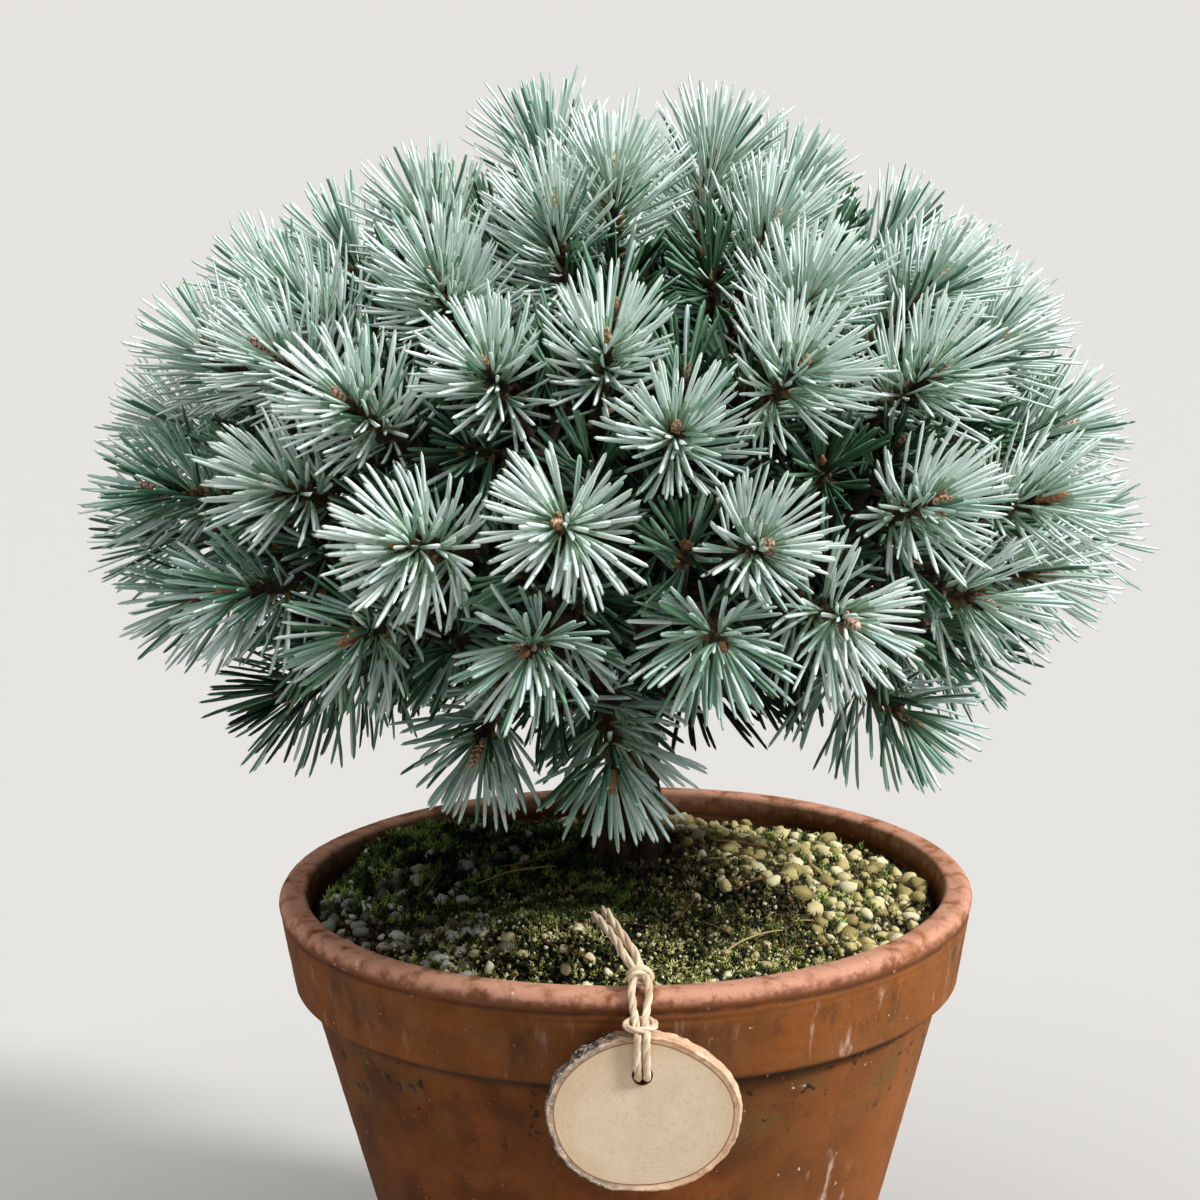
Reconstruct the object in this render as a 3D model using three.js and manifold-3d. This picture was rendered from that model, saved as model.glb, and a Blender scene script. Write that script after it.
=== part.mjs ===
// A dwarf, blue-needled pine in a terracotta pot, with a wooden tag on a twine tie.
// Millimetres, +Z up. The origin is the centre of the pot's underside and the front faces -Y.
import * as THREE from 'three';
import { mergeVertices } from 'three/addons/utils/BufferGeometryUtils.js';
import Module from 'manifold-3d';

const wasm = await Module();
wasm.setup();

// Clearance kept between pieces that touch or carry each other.
const gap = 0.3;

// The pot: a tapered body under a thicker collar, with drainage holes clear of the middle.
const potHeight = 104;
const rimRadius = 75;
const collarHeight = 21;
const collarTaper = 3.1;
const collarStep = 3.4;
const baseRadius = 47;
const potWall = 5.8;
const floorThickness = 7;
const lipRadius = 2.4;
const edgeRadius = 1.4;
const drainRadius = 5;
const drainCircle = 24;
const drainCount = 3;
const potSides = 40;

// The soil: level where the trunk stands, then falling to its edge below the rim.
const soilTop = 106;
const soilEdge = 98.5;
const soilLevelRadius = 17;

// Moss cushions on the soil: place of the middle, half width, half depth and height.
const mossCushions = {
  moss_left: { x: -34, y: 20, halfWidth: 25, halfDepth: 29, height: 4.5 },
  moss_front: { x: -11, y: -37, halfWidth: 24, halfDepth: 17, height: 4 },
  moss_right: { x: 25, y: -9, halfWidth: 16, halfDepth: 15, height: 3.5 },
};
// How far below the soil a cushion's widest level lies.
const mossSink = 3;

// The tag: a slice of a small branch, hung on the front of the collar.
const tagWidth = 39.4;
const tagHeight = 33.4;
const tagThickness = 4.5;
const tagCentre = new THREE.Vector3(3, -79.25, 80.8);
const tagHoleRadius = 2.9;
const tagHoleRise = 8.4;

// The twine tie: two strands side by side, knotted above the tag and again on the rim.
const twineRadius = 0.85;
const twineSides = 5;
const tagKnot = { place: new THREE.Vector3(2.7, -79.2, 99.9), radius: 2.1 };
const rimKnot = { place: new THREE.Vector3(2.8, -73.3, 107.3), radius: 2.6 };
const twineEnd = new THREE.Vector3(-5.4, -49.5, 113);

// The trunk: its foot stands behind the pot's middle and leans forward as it rises.
// Its curve starts a little below the cut that stands on the soil.
const trunk = { start: soilTop - 4, cut: soilTop + gap, top: 222, footBack: 15, sway: 2.2 };
const trunkRadius = { foot: 6.6, top: 1.9, flare: 3.6, flareHeight: 9 };
const trunkSides = 12;
const trunkSteps = 10;

// Buds lie on an egg-shaped shell, given by its half sizes about its widest level.
const crown = { level: 190, halfWidth: 97, halfDepth: 92, above: 68, below: 58 };

// Whorls of boughs, from the lowest to the leader. Each bough carries one mass of foliage, and a
// mass has rings of shoots: their angle up the shell and the zigzag in it, how many there are and
// how many fewer in every other mass, how far they spread over the mass's share of the circle,
// how far the ring is turned past the mass's middle, and their place out from the shell.
const whorls = [
  {
    name: 'low', masses: 6, phase: -12, rise: 41, stagger: 5, boughRadius: 2.5,
    rings: [
      { angle: -12, zigzag: 2, shoots: 3, fewer: 0, spread: 1, offset: 0, out: 1 },
      { angle: -42, zigzag: 1, shoots: 2, fewer: 1, spread: 0.7, offset: 0, out: 1 },
    ],
  },
  {
    name: 'mid', masses: 8, phase: 6.5, rise: 62, stagger: 9, boughRadius: 2,
    rings: [
      { angle: 7.5, zigzag: 2, shoots: 2, fewer: 0, spread: 1, offset: 0, out: 1 },
      { angle: 32, zigzag: 3, shoots: 2, fewer: 0, spread: 1, offset: -12, out: 1 },
    ],
  },
  {
    name: 'top', masses: 5, phase: -21, rise: 84, stagger: 5, boughRadius: 1.7,
    rings: [
      { angle: 46, zigzag: 3, shoots: 2, fewer: 0, spread: 1, offset: 0, out: 1 },
      { angle: 65, zigzag: 0, shoots: 1, fewer: 0, spread: 1, offset: 0, out: 1 },
    ],
  },
  {
    name: 'leader', masses: 1, phase: 120, rise: 0, stagger: 0, boughRadius: 1.7,
    rings: [{ angle: 79, zigzag: 0, shoots: 3, fewer: 0, spread: 1, offset: 0, out: 1.09 }],
  },
];
const growthSeed = 4782;
const angleJitter = 3.5;
const shellJitter = 0.03;
const aimJitter = 7;
const aimShare = 0.85;
const aimLift = 10;

// A mass's twigs part at its hub, this share of the way out to their needles. The bough takes
// this share of the way to the hub, sags in the middle, and the mass's own stem, which is this
// share of the bough's thickness, takes the rest. A twig leaves and arrives along the lines it
// joins over the lead, and is thickest at its waist.
const hubShare = 0.74;
const boughShare = 0.6;
const boughSag = 3;
const boughTaper = 0.87;
const stemShare = 0.85;
const twigRootDepth = 2.5;
const twigLead = 0.35;
const twigWaist = 0.6;
const limbSides = 5;
const boughSteps = 3;

// A shoot: a stem clad in needles over its last stretch. The needles stand in toothed whorls,
// given by how far each whorl's root is from the bud, its needles' angle to the stem and length.
const cladLength = 26;
const needleWhorls = [
  { back: 2.5, angle: 31, length: 18 },
  { back: 9, angle: 53, length: 20 },
  { back: 17, angle: 74, length: 20 },
];
// A tooth shorter than the shortest is left out. Clearances are to a limb and to a shoot of
// another mass or of the same one, and a tooth is this wide from its middle at the root.
const teethPerWhorl = 8;
const valleyReach = 9;
const valleyFloor = 4;
const shortestTooth = 6;
const needleClearance = { limb: 0.7, otherMass: 1, sameMass: 0.2 };
const toothHalfWidth = 1.6;
const stemRadius = { bud: 1.3, root: 1.7 };
const stemRingLead = 4;
const stemSides = 5;

const colours = {
  terracotta: 0xb0653f, soil: 0x3a2f25, moss: 0x5f6b2c, tagWood: 0xd8bd98, twine: 0xcbb38f,
  bark: 0x5b4636, needles: 0x8fa8a2,
};

// Repeats exactly, so that the same plant grows each time.
function seededRandom(seed) {
  let state = seed >>> 0;
  return () => {
    state = (Math.imul(state, 1664525) + 1013904223) >>> 0;
    return state / 4294967296;
  };
}

function finish(colour, roughness) {
  return new THREE.MeshStandardMaterial({ color: colour, roughness, metalness: 0 });
}

const finishes = {
  terracotta: finish(colours.terracotta, 0.85),
  soil: finish(colours.soil, 1),
  moss: finish(colours.moss, 1),
  tagWood: finish(colours.tagWood, 0.7),
  twine: finish(colours.twine, 0.95),
  bark: finish(colours.bark, 0.95),
  needles: finish(colours.needles, 0.6),
};

// Solids

function signedVolume(geometry) {
  const place = geometry.attributes.position;
  const index = geometry.index;
  const corners = [new THREE.Vector3(), new THREE.Vector3(), new THREE.Vector3()];
  let total = 0;
  for (let i = 0; i < index.count; i += 3) {
    corners.forEach((corner, k) => corner.fromBufferAttribute(place, index.getX(i + k)));
    total += corners[0].dot(corners[1].clone().cross(corners[2]));
  }
  return total / 6;
}

function toSolid(geometry) {
  const bare = geometry.clone();
  bare.deleteAttribute('normal');
  bare.deleteAttribute('uv');
  const merged = mergeVertices(bare, 1e-3);
  const triangles = Uint32Array.from(merged.index.array);
  if (signedVolume(merged) < 0) {
    for (let i = 0; i < triangles.length; i += 3) {
      [triangles[i], triangles[i + 1]] = [triangles[i + 1], triangles[i]];
    }
  }
  const vertProperties = Float32Array.from(merged.attributes.position.array);
  return new wasm.Manifold(new wasm.Mesh({ numProp: 3, vertProperties, triVerts: triangles }));
}

function toGeometry(solid) {
  const mesh = solid.getMesh();
  const geometry = new THREE.BufferGeometry();
  geometry.setAttribute('position', new THREE.BufferAttribute(mesh.vertProperties, 3));
  geometry.setIndex(new THREE.BufferAttribute(mesh.triVerts, 1));
  return geometry;
}

// Joins solids into one body. Small hollows that the joining seals are filled.
function joined(solids) {
  const whole = solids.reduce((all, solid) => all.add(solid));
  const bodies = toSolid(toGeometry(whole)).decompose();
  return bodies.reduce((largest, body) => (body.volume() > largest.volume() ? body : largest));
}

// A closed lathe about +Z from points given as [radius, height].
function turned(points, sides) {
  const profile = points.map(([radius, height]) => new THREE.Vector2(radius, height));
  return new THREE.LatheGeometry(profile, sides).rotateX(Math.PI / 2);
}

function arcPoints(centreR, centreZ, radius, fromDegrees, toDegrees, steps) {
  const points = [];
  for (let i = 0; i <= steps; i += 1) {
    const angle = THREE.MathUtils.degToRad(fromDegrees + ((toDegrees - fromDegrees) * i) / steps);
    points.push([centreR + radius * Math.cos(angle), centreZ + radius * Math.sin(angle)]);
  }
  return points;
}

// Two directions square to a given one, the first of them level where it can be.
function crossAxes(along) {
  const reference = Math.abs(along.z) < 0.85 ? new THREE.Vector3(0, 0, 1) : new THREE.Vector3(1, 0, 0);
  const side = new THREE.Vector3().crossVectors(along, reference).normalize();
  const rise = new THREE.Vector3().crossVectors(side, along).normalize();
  return [side, rise];
}

// A tapering limb: a unit lathe bent onto a stretch of a curve. The radius depends on the share
// of the stretch passed and the angle round it.
function limb(curve, from, to, radiusAt, sides, steps) {
  const outline = [new THREE.Vector2(0, 0)];
  for (let i = 0; i <= steps; i += 1) outline.push(new THREE.Vector2(1, i / steps));
  outline.push(new THREE.Vector2(0, 1));
  const geometry = new THREE.LatheGeometry(outline, sides);
  const place = geometry.attributes.position;
  const [side, rise] = crossAxes(curve.getTangent((from + to) / 2));
  const point = new THREE.Vector3();
  for (let i = 0; i < place.count; i += 1) {
    point.fromBufferAttribute(place, i);
    const share = point.y;
    const t = from + (to - from) * share;
    const tangent = curve.getTangent(t);
    const across = side.clone().addScaledVector(tangent, -side.dot(tangent)).normalize();
    const up = new THREE.Vector3().crossVectors(across, tangent);
    if (up.dot(rise) < 0) up.negate();
    const radius = radiusAt(share, Math.atan2(point.z, point.x));
    const centre = curve.getPoint(t);
    centre.addScaledVector(across, point.x * radius).addScaledVector(up, point.z * radius);
    place.setXYZ(i, centre.x, centre.y, centre.z);
  }
  return geometry;
}

// Pot and soil

const shoulderHeight = potHeight - collarHeight;
const collarFootRadius = rimRadius - collarTaper;
const shoulderRadius = collarFootRadius - collarStep;
const wallSlope = (shoulderRadius - baseRadius) / shoulderHeight;

function innerRadius(height) {
  const atShoulder = shoulderRadius - potWall;
  if (height <= shoulderHeight) return atShoulder - wallSlope * (shoulderHeight - height);
  const share = (height - shoulderHeight) / collarHeight;
  return atShoulder + (rimRadius - potWall - atShoulder) * share;
}

function potSolid() {
  const lipTop = potHeight - lipRadius;
  const outline = [
    [0, 0],
    ...arcPoints(baseRadius - edgeRadius, edgeRadius, edgeRadius, -90, 0, 2),
    [shoulderRadius, shoulderHeight],
    ...arcPoints(collarFootRadius - edgeRadius, shoulderHeight + edgeRadius, edgeRadius, -90, 0, 2),
    ...arcPoints(rimRadius - lipRadius, lipTop, lipRadius, 0, 90, 3),
    [innerRadius(potHeight) + edgeRadius, potHeight],
    [innerRadius(potHeight - edgeRadius), potHeight - edgeRadius],
    [innerRadius(shoulderHeight), shoulderHeight],
    [innerRadius(floorThickness), floorThickness],
    [0, floorThickness],
  ];
  let pot = toSolid(turned(outline, potSides));
  for (let i = 0; i < drainCount; i += 1) {
    const angle = (2 * Math.PI * (i + 0.5)) / drainCount;
    const drain = new THREE.CylinderGeometry(drainRadius, drainRadius, 3 * floorThickness, 16);
    drain.rotateX(Math.PI / 2);
    drain.translate(drainCircle * Math.cos(angle), drainCircle * Math.sin(angle), floorThickness / 2);
    pot = pot.subtract(toSolid(drain));
  }
  return pot;
}

const soilEdgeRadius = innerRadius(soilEdge) - gap;

// The height of the soil at a radius, as a half wave from the level middle to the edge.
function soilHeight(radius) {
  if (radius <= soilLevelRadius) return soilTop;
  const share = (radius - soilLevelRadius) / (soilEdgeRadius - soilLevelRadius);
  return soilEdge + ((soilTop - soilEdge) * (1 + Math.cos(Math.PI * share))) / 2;
}

function soilOutline(lift) {
  const slopeSteps = 4;
  const outline = [
    [0, floorThickness + gap],
    [innerRadius(floorThickness) - gap, floorThickness + gap],
    [innerRadius(shoulderHeight) - gap, shoulderHeight],
  ];
  for (let i = 0; i <= slopeSteps; i += 1) {
    const radius = soilEdgeRadius + ((soilLevelRadius - soilEdgeRadius) * i) / slopeSteps;
    outline.push([radius, soilHeight(radius) + lift]);
  }
  outline.push([0, soilTop + lift]);
  return outline;
}

function mossSolid({ x, y, halfWidth, halfDepth, height }) {
  const cushion = new THREE.SphereGeometry(1, 14, 8).rotateX(Math.PI / 2);
  const radius = Math.hypot(x, y);
  cushion.scale(halfWidth, halfDepth, height + mossSink);
  cushion.translate(x, y, soilHeight(radius) - mossSink);
  const inside = new THREE.CylinderGeometry(soilEdgeRadius - 1, soilEdgeRadius - 1, 60, potSides);
  inside.rotateX(Math.PI / 2).translate(0, 0, soilTop);
  const overSoil = toSolid(turned(soilOutline(gap), potSides));
  return toSolid(cushion).intersect(toSolid(inside)).subtract(overSoil);
}

// Tag and twine

function tagSolid() {
  const outline = new THREE.Shape();
  const steps = 36;
  for (let i = 0; i < steps; i += 1) {
    const angle = (2 * Math.PI * i) / steps;
    const swell = 1 + 0.012 * Math.cos(3 * angle + 0.6) + 0.008 * Math.sin(5 * angle);
    const x = (tagWidth / 2) * swell * Math.cos(angle);
    const y = (tagHeight / 2) * swell * Math.sin(angle);
    if (i === 0) outline.moveTo(x, y);
    else outline.lineTo(x, y);
  }
  const hole = new THREE.Path().absarc(0, tagHoleRise, tagHoleRadius, 0, 2 * Math.PI, true);
  outline.holes.push(hole);
  const slice = new THREE.ExtrudeGeometry(outline, {
    depth: tagThickness, bevelEnabled: false, curveSegments: 8,
  });
  slice.translate(0, 0, -tagThickness / 2).rotateX(Math.PI / 2);
  return toSolid(slice.translate(tagCentre.x, tagCentre.y, tagCentre.z));
}

function strandSolid(points, steps) {
  const section = new THREE.Shape();
  for (let i = 0; i < twineSides; i += 1) {
    const angle = (2 * Math.PI * i) / twineSides;
    const corner = [twineRadius * Math.cos(angle), twineRadius * Math.sin(angle)];
    if (i === 0) section.moveTo(...corner);
    else section.lineTo(...corner);
  }
  const extrudePath = new THREE.CatmullRomCurve3(points);
  return toSolid(new THREE.ExtrudeGeometry(section, { steps, extrudePath, bevelEnabled: false }));
}

function knotSolid({ place, radius }) {
  const knot = new THREE.SphereGeometry(radius, 8, 6).scale(1.1, 0.95, 0.9);
  return toSolid(knot.translate(place.x, place.y, place.z));
}

// From the tag's knot each strand runs down the face, through the hole and up behind the tag.
function twineSolid() {
  const face = tagCentre.y - tagThickness / 2 - gap - twineRadius;
  const back = tagCentre.y + tagThickness / 2 + gap + twineRadius;
  const holeHeight = tagCentre.z + tagHoleRise;
  const tagTop = tagCentre.z + tagHeight / 2;
  const lipHeight = potHeight - lipRadius;
  const lipFront = -rimRadius - gap - twineRadius;
  const pieces = [knotSolid(tagKnot), knotSolid(rimKnot)];
  for (const side of [-1, 1]) {
    const x = tagCentre.x + side * (twineRadius + 0.03);
    const frontRun = [
      tagKnot.place.clone(),
      new THREE.Vector3(x, face, tagTop + 0.9),
      new THREE.Vector3(x, face, holeHeight + 2.2),
      new THREE.Vector3(x, face + 0.9, holeHeight + 0.2),
      new THREE.Vector3(x, tagCentre.y, holeHeight - 0.3),
    ];
    const backRun = [
      frontRun[frontRun.length - 1],
      new THREE.Vector3(x, back - 0.9, holeHeight + 0.2),
      new THREE.Vector3(x, back, holeHeight + 2.2),
      new THREE.Vector3(x, back, tagTop + 0.6),
      tagKnot.place.clone(),
    ];
    const overRim = [
      tagKnot.place.clone(),
      new THREE.Vector3(tagKnot.place.x + side * 1.9, lipFront - 0.3, lipHeight),
      new THREE.Vector3(rimKnot.place.x + side * 1.7, lipFront + 1.3, potHeight + 1),
      rimKnot.place.clone(),
    ];
    const tail = [
      rimKnot.place.clone(),
      rimKnot.place.clone().lerp(twineEnd, 0.5).add(new THREE.Vector3(side * 0.8, 0, 1)),
      twineEnd.clone().add(new THREE.Vector3(side * 0.9, side * 0.8, side * 0.3)),
    ];
    pieces.push(strandSolid(frontRun, 7), strandSolid(backRun, 7));
    pieces.push(strandSolid(overRim, 5), strandSolid(tail, 3));
  }
  return joined(pieces);
}

// Trunk

class TrunkCurve extends THREE.Curve {
  getPoint(t, target = new THREE.Vector3()) {
    const back = trunk.footBack * (1 - t) * (1 - t);
    return target.set(
      trunk.sway * Math.sin(2 * Math.PI * t),
      back + trunk.sway * 0.6 * Math.sin(3 * Math.PI * t),
      trunk.start + (trunk.top - trunk.start) * t,
    );
  }
}

const trunkCurve = new TrunkCurve();

function trunkRadiusAt(share, angle, extra = 0) {
  const height = share * (trunk.top - trunk.start);
  const flare = trunkRadius.flare * Math.exp(-height / trunkRadius.flareHeight);
  const lobes = 1 + 0.28 * Math.cos(3 * angle + 0.8) + 0.18 * Math.cos(5 * angle);
  return trunkRadius.foot + (trunkRadius.top - trunkRadius.foot) * share + flare * lobes + extra;
}

// The trunk, or its shape grown by some clearance, cut level at its foot.
function trunkSolid(extra) {
  const radiusAt = (share, angle) => trunkRadiusAt(share, angle, extra);
  const below = new THREE.BoxGeometry(60, 60, 20).translate(0, trunk.footBack, trunk.cut - extra - 10);
  return toSolid(limb(trunkCurve, 0, 1, radiusAt, trunkSides, trunkSteps)).subtract(toSolid(below));
}

// Growth: where every shoot ends, which way it points and how its mass is carried.

function direction(azimuth, elevation) {
  const a = THREE.MathUtils.degToRad(azimuth);
  const e = THREE.MathUtils.degToRad(elevation);
  return new THREE.Vector3(Math.cos(e) * Math.sin(a), -Math.cos(e) * Math.cos(a), Math.sin(e));
}

function budPlace(azimuth, angle, scale) {
  const unit = direction(azimuth, angle);
  const halfHeight = unit.z > 0 ? crown.above : crown.below;
  return new THREE.Vector3(
    unit.x * crown.halfWidth * scale,
    unit.y * crown.halfDepth * scale,
    crown.level + unit.z * halfHeight * scale,
  );
}

function growShoots(whorl, index, random) {
  const jitter = (size) => (random() * 2 - 1) * size;
  const share = 360 / whorl.masses;
  const shoots = [];
  for (const ring of whorl.rings) {
    const count = ring.shoots - ring.fewer * (index % 2);
    for (let k = 0; k < count; k += 1) {
      const across = ((k + 0.5) / count - 0.5) * share * ring.spread;
      const azimuth = whorl.phase + ring.offset + index * share + across + jitter(angleJitter);
      const angle = ring.angle + (k % 2 === 0 ? 1 : -1) * ring.zigzag + jitter(angleJitter);
      const bud = budPlace(azimuth, angle, ring.out * (1 + jitter(shellJitter)));
      const aimAzimuth = azimuth + jitter(aimJitter);
      const aim = direction(aimAzimuth, angle * aimShare + aimLift + jitter(aimJitter) / 2);
      const turn = random() * 0.6;
      shoots.push({ bud, aim, turn, base: bud.clone().addScaledVector(aim, -cladLength) });
    }
  }
  return shoots;
}

function growMass(whorl, index, random) {
  const shoots = growShoots(whorl, index, random);
  const middle = new THREE.Vector3();
  shoots.forEach((shoot) => middle.addScaledVector(shoot.base, 1 / shoots.length));
  const name = whorl.masses > 1 ? `${whorl.name}_${index + 1}` : whorl.name;
  if (whorl.rise === 0) {
    const start = trunkCurve.getPoint(1);
    const root = start.clone().addScaledVector(trunkCurve.getTangent(1), gap);
    const hub = root.clone().addScaledVector(trunkCurve.getTangent(1), 3);
    return { name, shoots, hub, stem: new THREE.LineCurve3(root, hub), stemFrom: 0, whorl };
  }
  const rise = whorl.rise + whorl.stagger * ((index % 2) - 0.5);
  const foot = trunkCurve.getPoint(rise / (trunk.top - trunk.start));
  const hub = foot.clone().lerp(middle, hubShare);
  const bend = foot.clone().lerp(hub, 0.5).add(new THREE.Vector3(0, 0, -boughSag));
  const stem = new THREE.QuadraticBezierCurve3(foot, bend, hub);
  return { name, shoots, hub, stem, stemFrom: boughShare + gap / stem.getLength(), whorl };
}

function growCrown() {
  const random = seededRandom(growthSeed);
  const masses = [];
  for (const whorl of whorls) {
    for (let index = 0; index < whorl.masses; index += 1) masses.push(growMass(whorl, index, random));
  }
  for (const mass of masses) {
    for (const shoot of mass.shoots) {
      const root = mass.hub.clone().addScaledVector(mass.stem.getTangent(1), -twigRootDepth);
      const reach = shoot.base.distanceTo(root);
      const lead = root.clone().lerp(shoot.base, twigLead);
      const back = shoot.base.clone().addScaledVector(shoot.aim, -reach * twigLead);
      shoot.twig = new THREE.CubicBezierCurve3(root, lead, back, shoot.base);
    }
  }
  return masses;
}

const masses = growCrown();

// Room for needles: every clad stem, and every bare limb as short straight stretches.

function stretches(curve, from, to, radiusAt, count, owner) {
  const list = [];
  for (let i = 0; i < count; i += 1) {
    const first = from + ((to - from) * i) / count;
    const last = from + ((to - from) * (i + 1)) / count;
    const radius = radiusAt((i + 0.5) / count, 0);
    list.push({ line: new THREE.Line3(curve.getPoint(first), curve.getPoint(last)), radius, owner });
  }
  return list;
}

const cladStems = masses.flatMap((mass) =>
  mass.shoots.map((shoot) => ({ line: new THREE.Line3(shoot.base, shoot.bud), shoot, owner: mass })));
const bareLimbs = [
  ...stretches(trunkCurve, 0, 1, trunkRadiusAt, trunkSteps, null),
  ...masses.flatMap((mass) => [
    ...stretches(mass.stem, 0, boughShare, () => mass.whorl.boughRadius, 3, null),
    ...stretches(mass.stem, mass.stemFrom, 1, () => mass.whorl.boughRadius, 2, mass),
    ...mass.shoots.flatMap((shoot) => stretches(shoot.twig, 0, 1, () => stemRadius.root, 3, shoot)),
  ]),
];

const nearest = new THREE.Vector3();

function distanceTo(line, point) {
  return line.closestPointToPoint(point, true, nearest).distanceTo(point);
}

// How far a needle can grow from its root before it leaves its shoot's room or meets a limb.
function needleReach(mass, shoot, root, along, length) {
  const step = 0.5;
  const own = new THREE.Line3(shoot.base, shoot.bud);
  const near = cladStems.filter((other) => other.shoot !== shoot
    && distanceTo(other.line, root) < 2 * length + needleClearance.otherMass);
  const limbs = bareLimbs.filter((other) => other.owner !== mass && other.owner !== shoot
    && distanceTo(other.line, root) < length + 2 * other.radius);
  const tip = new THREE.Vector3();
  for (let grown = valleyFloor; grown < length; grown += step) {
    tip.copy(root).addScaledVector(along, grown + step);
    const ownDistance = distanceTo(own, tip);
    const crowded = near.some((other) => {
      const clearance = other.owner === mass ? needleClearance.sameMass : needleClearance.otherMass;
      return distanceTo(other.line, tip) < ownDistance + clearance;
    });
    const room = needleClearance.limb + toothHalfWidth * (1 - grown / length);
    const blocked = limbs.some((other) => distanceTo(other.line, tip) < other.radius + room);
    if (crowded || blocked) return grown;
  }
  return length;
}

// Rings of points round a shoot are stitched into a closed skin by their angles.

function stitch(first, second, triangles) {
  const angleOf = (ring, i) => ring[i % ring.length].angle + (i >= ring.length ? 2 * Math.PI : 0);
  let i = 0;
  let j = 0;
  while (i < first.length || j < second.length) {
    const nextFirst = i < first.length ? angleOf(first, i + 1) : Infinity;
    const nextSecond = j < second.length ? angleOf(second, j + 1) : Infinity;
    const a = first[i % first.length].index;
    const b = second[j % second.length].index;
    if (nextFirst <= nextSecond) {
      triangles.push(a, b, first[(i + 1) % first.length].index);
      i += 1;
    } else {
      triangles.push(a, b, second[(j + 1) % second.length].index);
      j += 1;
    }
  }
}

function skin(rings) {
  const places = [];
  const triangles = [];
  for (const ring of rings) {
    for (const corner of ring) {
      corner.index = places.length / 3;
      places.push(corner.place.x, corner.place.y, corner.place.z);
    }
  }
  for (let k = 0; k + 1 < rings.length; k += 1) {
    const [first, second] = [rings[k], rings[k + 1]];
    if (first.length === 1) {
      second.forEach((corner, i) => triangles.push(
        first[0].index, corner.index, second[(i + 1) % second.length].index));
    } else if (second.length === 1) {
      first.forEach((corner, i) => triangles.push(
        second[0].index, first[(i + 1) % first.length].index, corner.index));
    } else {
      stitch(first, second, triangles);
    }
  }
  const geometry = new THREE.BufferGeometry();
  geometry.setAttribute('position', new THREE.Float32BufferAttribute(places, 3));
  geometry.setIndex(triangles);
  return geometry;
}

function around([side, rise], angle) {
  return side.clone().multiplyScalar(Math.cos(angle)).addScaledVector(rise, Math.sin(angle));
}

function stemRing(centre, axes, radius) {
  const ring = [];
  for (let k = 0; k < stemSides; k += 1) {
    const angle = (2 * Math.PI * k) / stemSides;
    ring.push({ angle, place: centre.clone().addScaledVector(around(axes, angle), radius) });
  }
  return ring;
}

function toothRing(mass, shoot, axes, { back, angle, length }, turn) {
  const root = shoot.bud.clone().addScaledVector(shoot.aim, -back);
  const lean = THREE.MathUtils.degToRad(angle);
  const ring = [];
  for (let k = 0; k < 2 * teethPerWhorl; k += 1) {
    const spin = (Math.PI * (k + turn)) / teethPerWhorl;
    const along = around(axes, spin).multiplyScalar(Math.sin(lean));
    along.addScaledVector(shoot.aim, Math.cos(lean));
    const reach = needleReach(mass, shoot, root, along, k % 2 === 0 ? length : valleyReach);
    const grown = reach < shortestTooth ? valleyFloor : reach;
    ring.push({ angle: spin, place: root.clone().addScaledVector(along, grown) });
  }
  return ring;
}

// One shoot, from its bud's tip through the whorls of needles and down its twig to the hub.
function shootSolid(mass, shoot) {
  const axes = crossAxes(shoot.aim);
  const rings = [[{ angle: 0, place: shoot.bud.clone() }]];
  needleWhorls.forEach((whorl, k) => {
    const next = needleWhorls[k + 1];
    const below = next ? next.back - stemRingLead : whorl.back + stemRingLead;
    const centre = shoot.bud.clone().addScaledVector(shoot.aim, -below);
    rings.push(toothRing(mass, shoot, axes, whorl, shoot.turn + 0.5 * k));
    rings.push(stemRing(centre, axes, stemRadius.bud));
  });
  const tangent = shoot.twig.getTangent(twigWaist);
  const across = axes[0].clone().addScaledVector(tangent, -axes[0].dot(tangent)).normalize();
  const up = new THREE.Vector3().crossVectors(across, tangent);
  rings.push(stemRing(shoot.twig.getPoint(twigWaist), [across, up], stemRadius.root));
  rings.push([{ angle: 0, place: shoot.twig.getPoint(0) }]);
  return toSolid(skin(rings));
}

function massSolid(mass) {
  const radius = mass.whorl.boughRadius * stemShare;
  const stem = limb(mass.stem, mass.stemFrom, 1, () => radius, limbSides, 2);
  return joined([toSolid(stem), ...mass.shoots.map((shoot) => shootSolid(mass, shoot))]);
}

function boughSolid(mass, clearOfTrunk) {
  const { boughRadius } = mass.whorl;
  const radiusAt = (share) => boughRadius * (1 + (boughTaper - 1) * share);
  return toSolid(limb(mass.stem, 0, boughShare, radiusAt, limbSides, boughSteps)).subtract(clearOfTrunk);
}

// The whole plant

const plant = new THREE.Group();

function addPiece(name, solid, material) {
  const mesh = new THREE.Mesh(toGeometry(solid), material);
  mesh.name = name;
  plant.add(mesh);
}

const clearOfTrunk = trunkSolid(gap);
addPiece('pot', potSolid(), finishes.terracotta);
addPiece('soil', toSolid(turned(soilOutline(0), potSides)), finishes.soil);
for (const [name, cushion] of Object.entries(mossCushions)) {
  addPiece(name, mossSolid(cushion).subtract(clearOfTrunk), finishes.moss);
}
addPiece('name_tag', tagSolid(), finishes.tagWood);
addPiece('twine_tie', twineSolid(), finishes.twine);
addPiece('trunk', trunkSolid(0), finishes.bark);
for (const mass of masses) {
  if (mass.whorl.rise > 0) addPiece(`bough_${mass.name}`, boughSolid(mass, clearOfTrunk), finishes.bark);
}
for (const mass of masses) addPiece(`foliage_${mass.name}`, massSolid(mass), finishes.needles);

export default plant;
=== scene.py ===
import math

import bmesh
import bpy
import numpy as np
from mathutils import Matrix, Vector, noise


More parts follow.
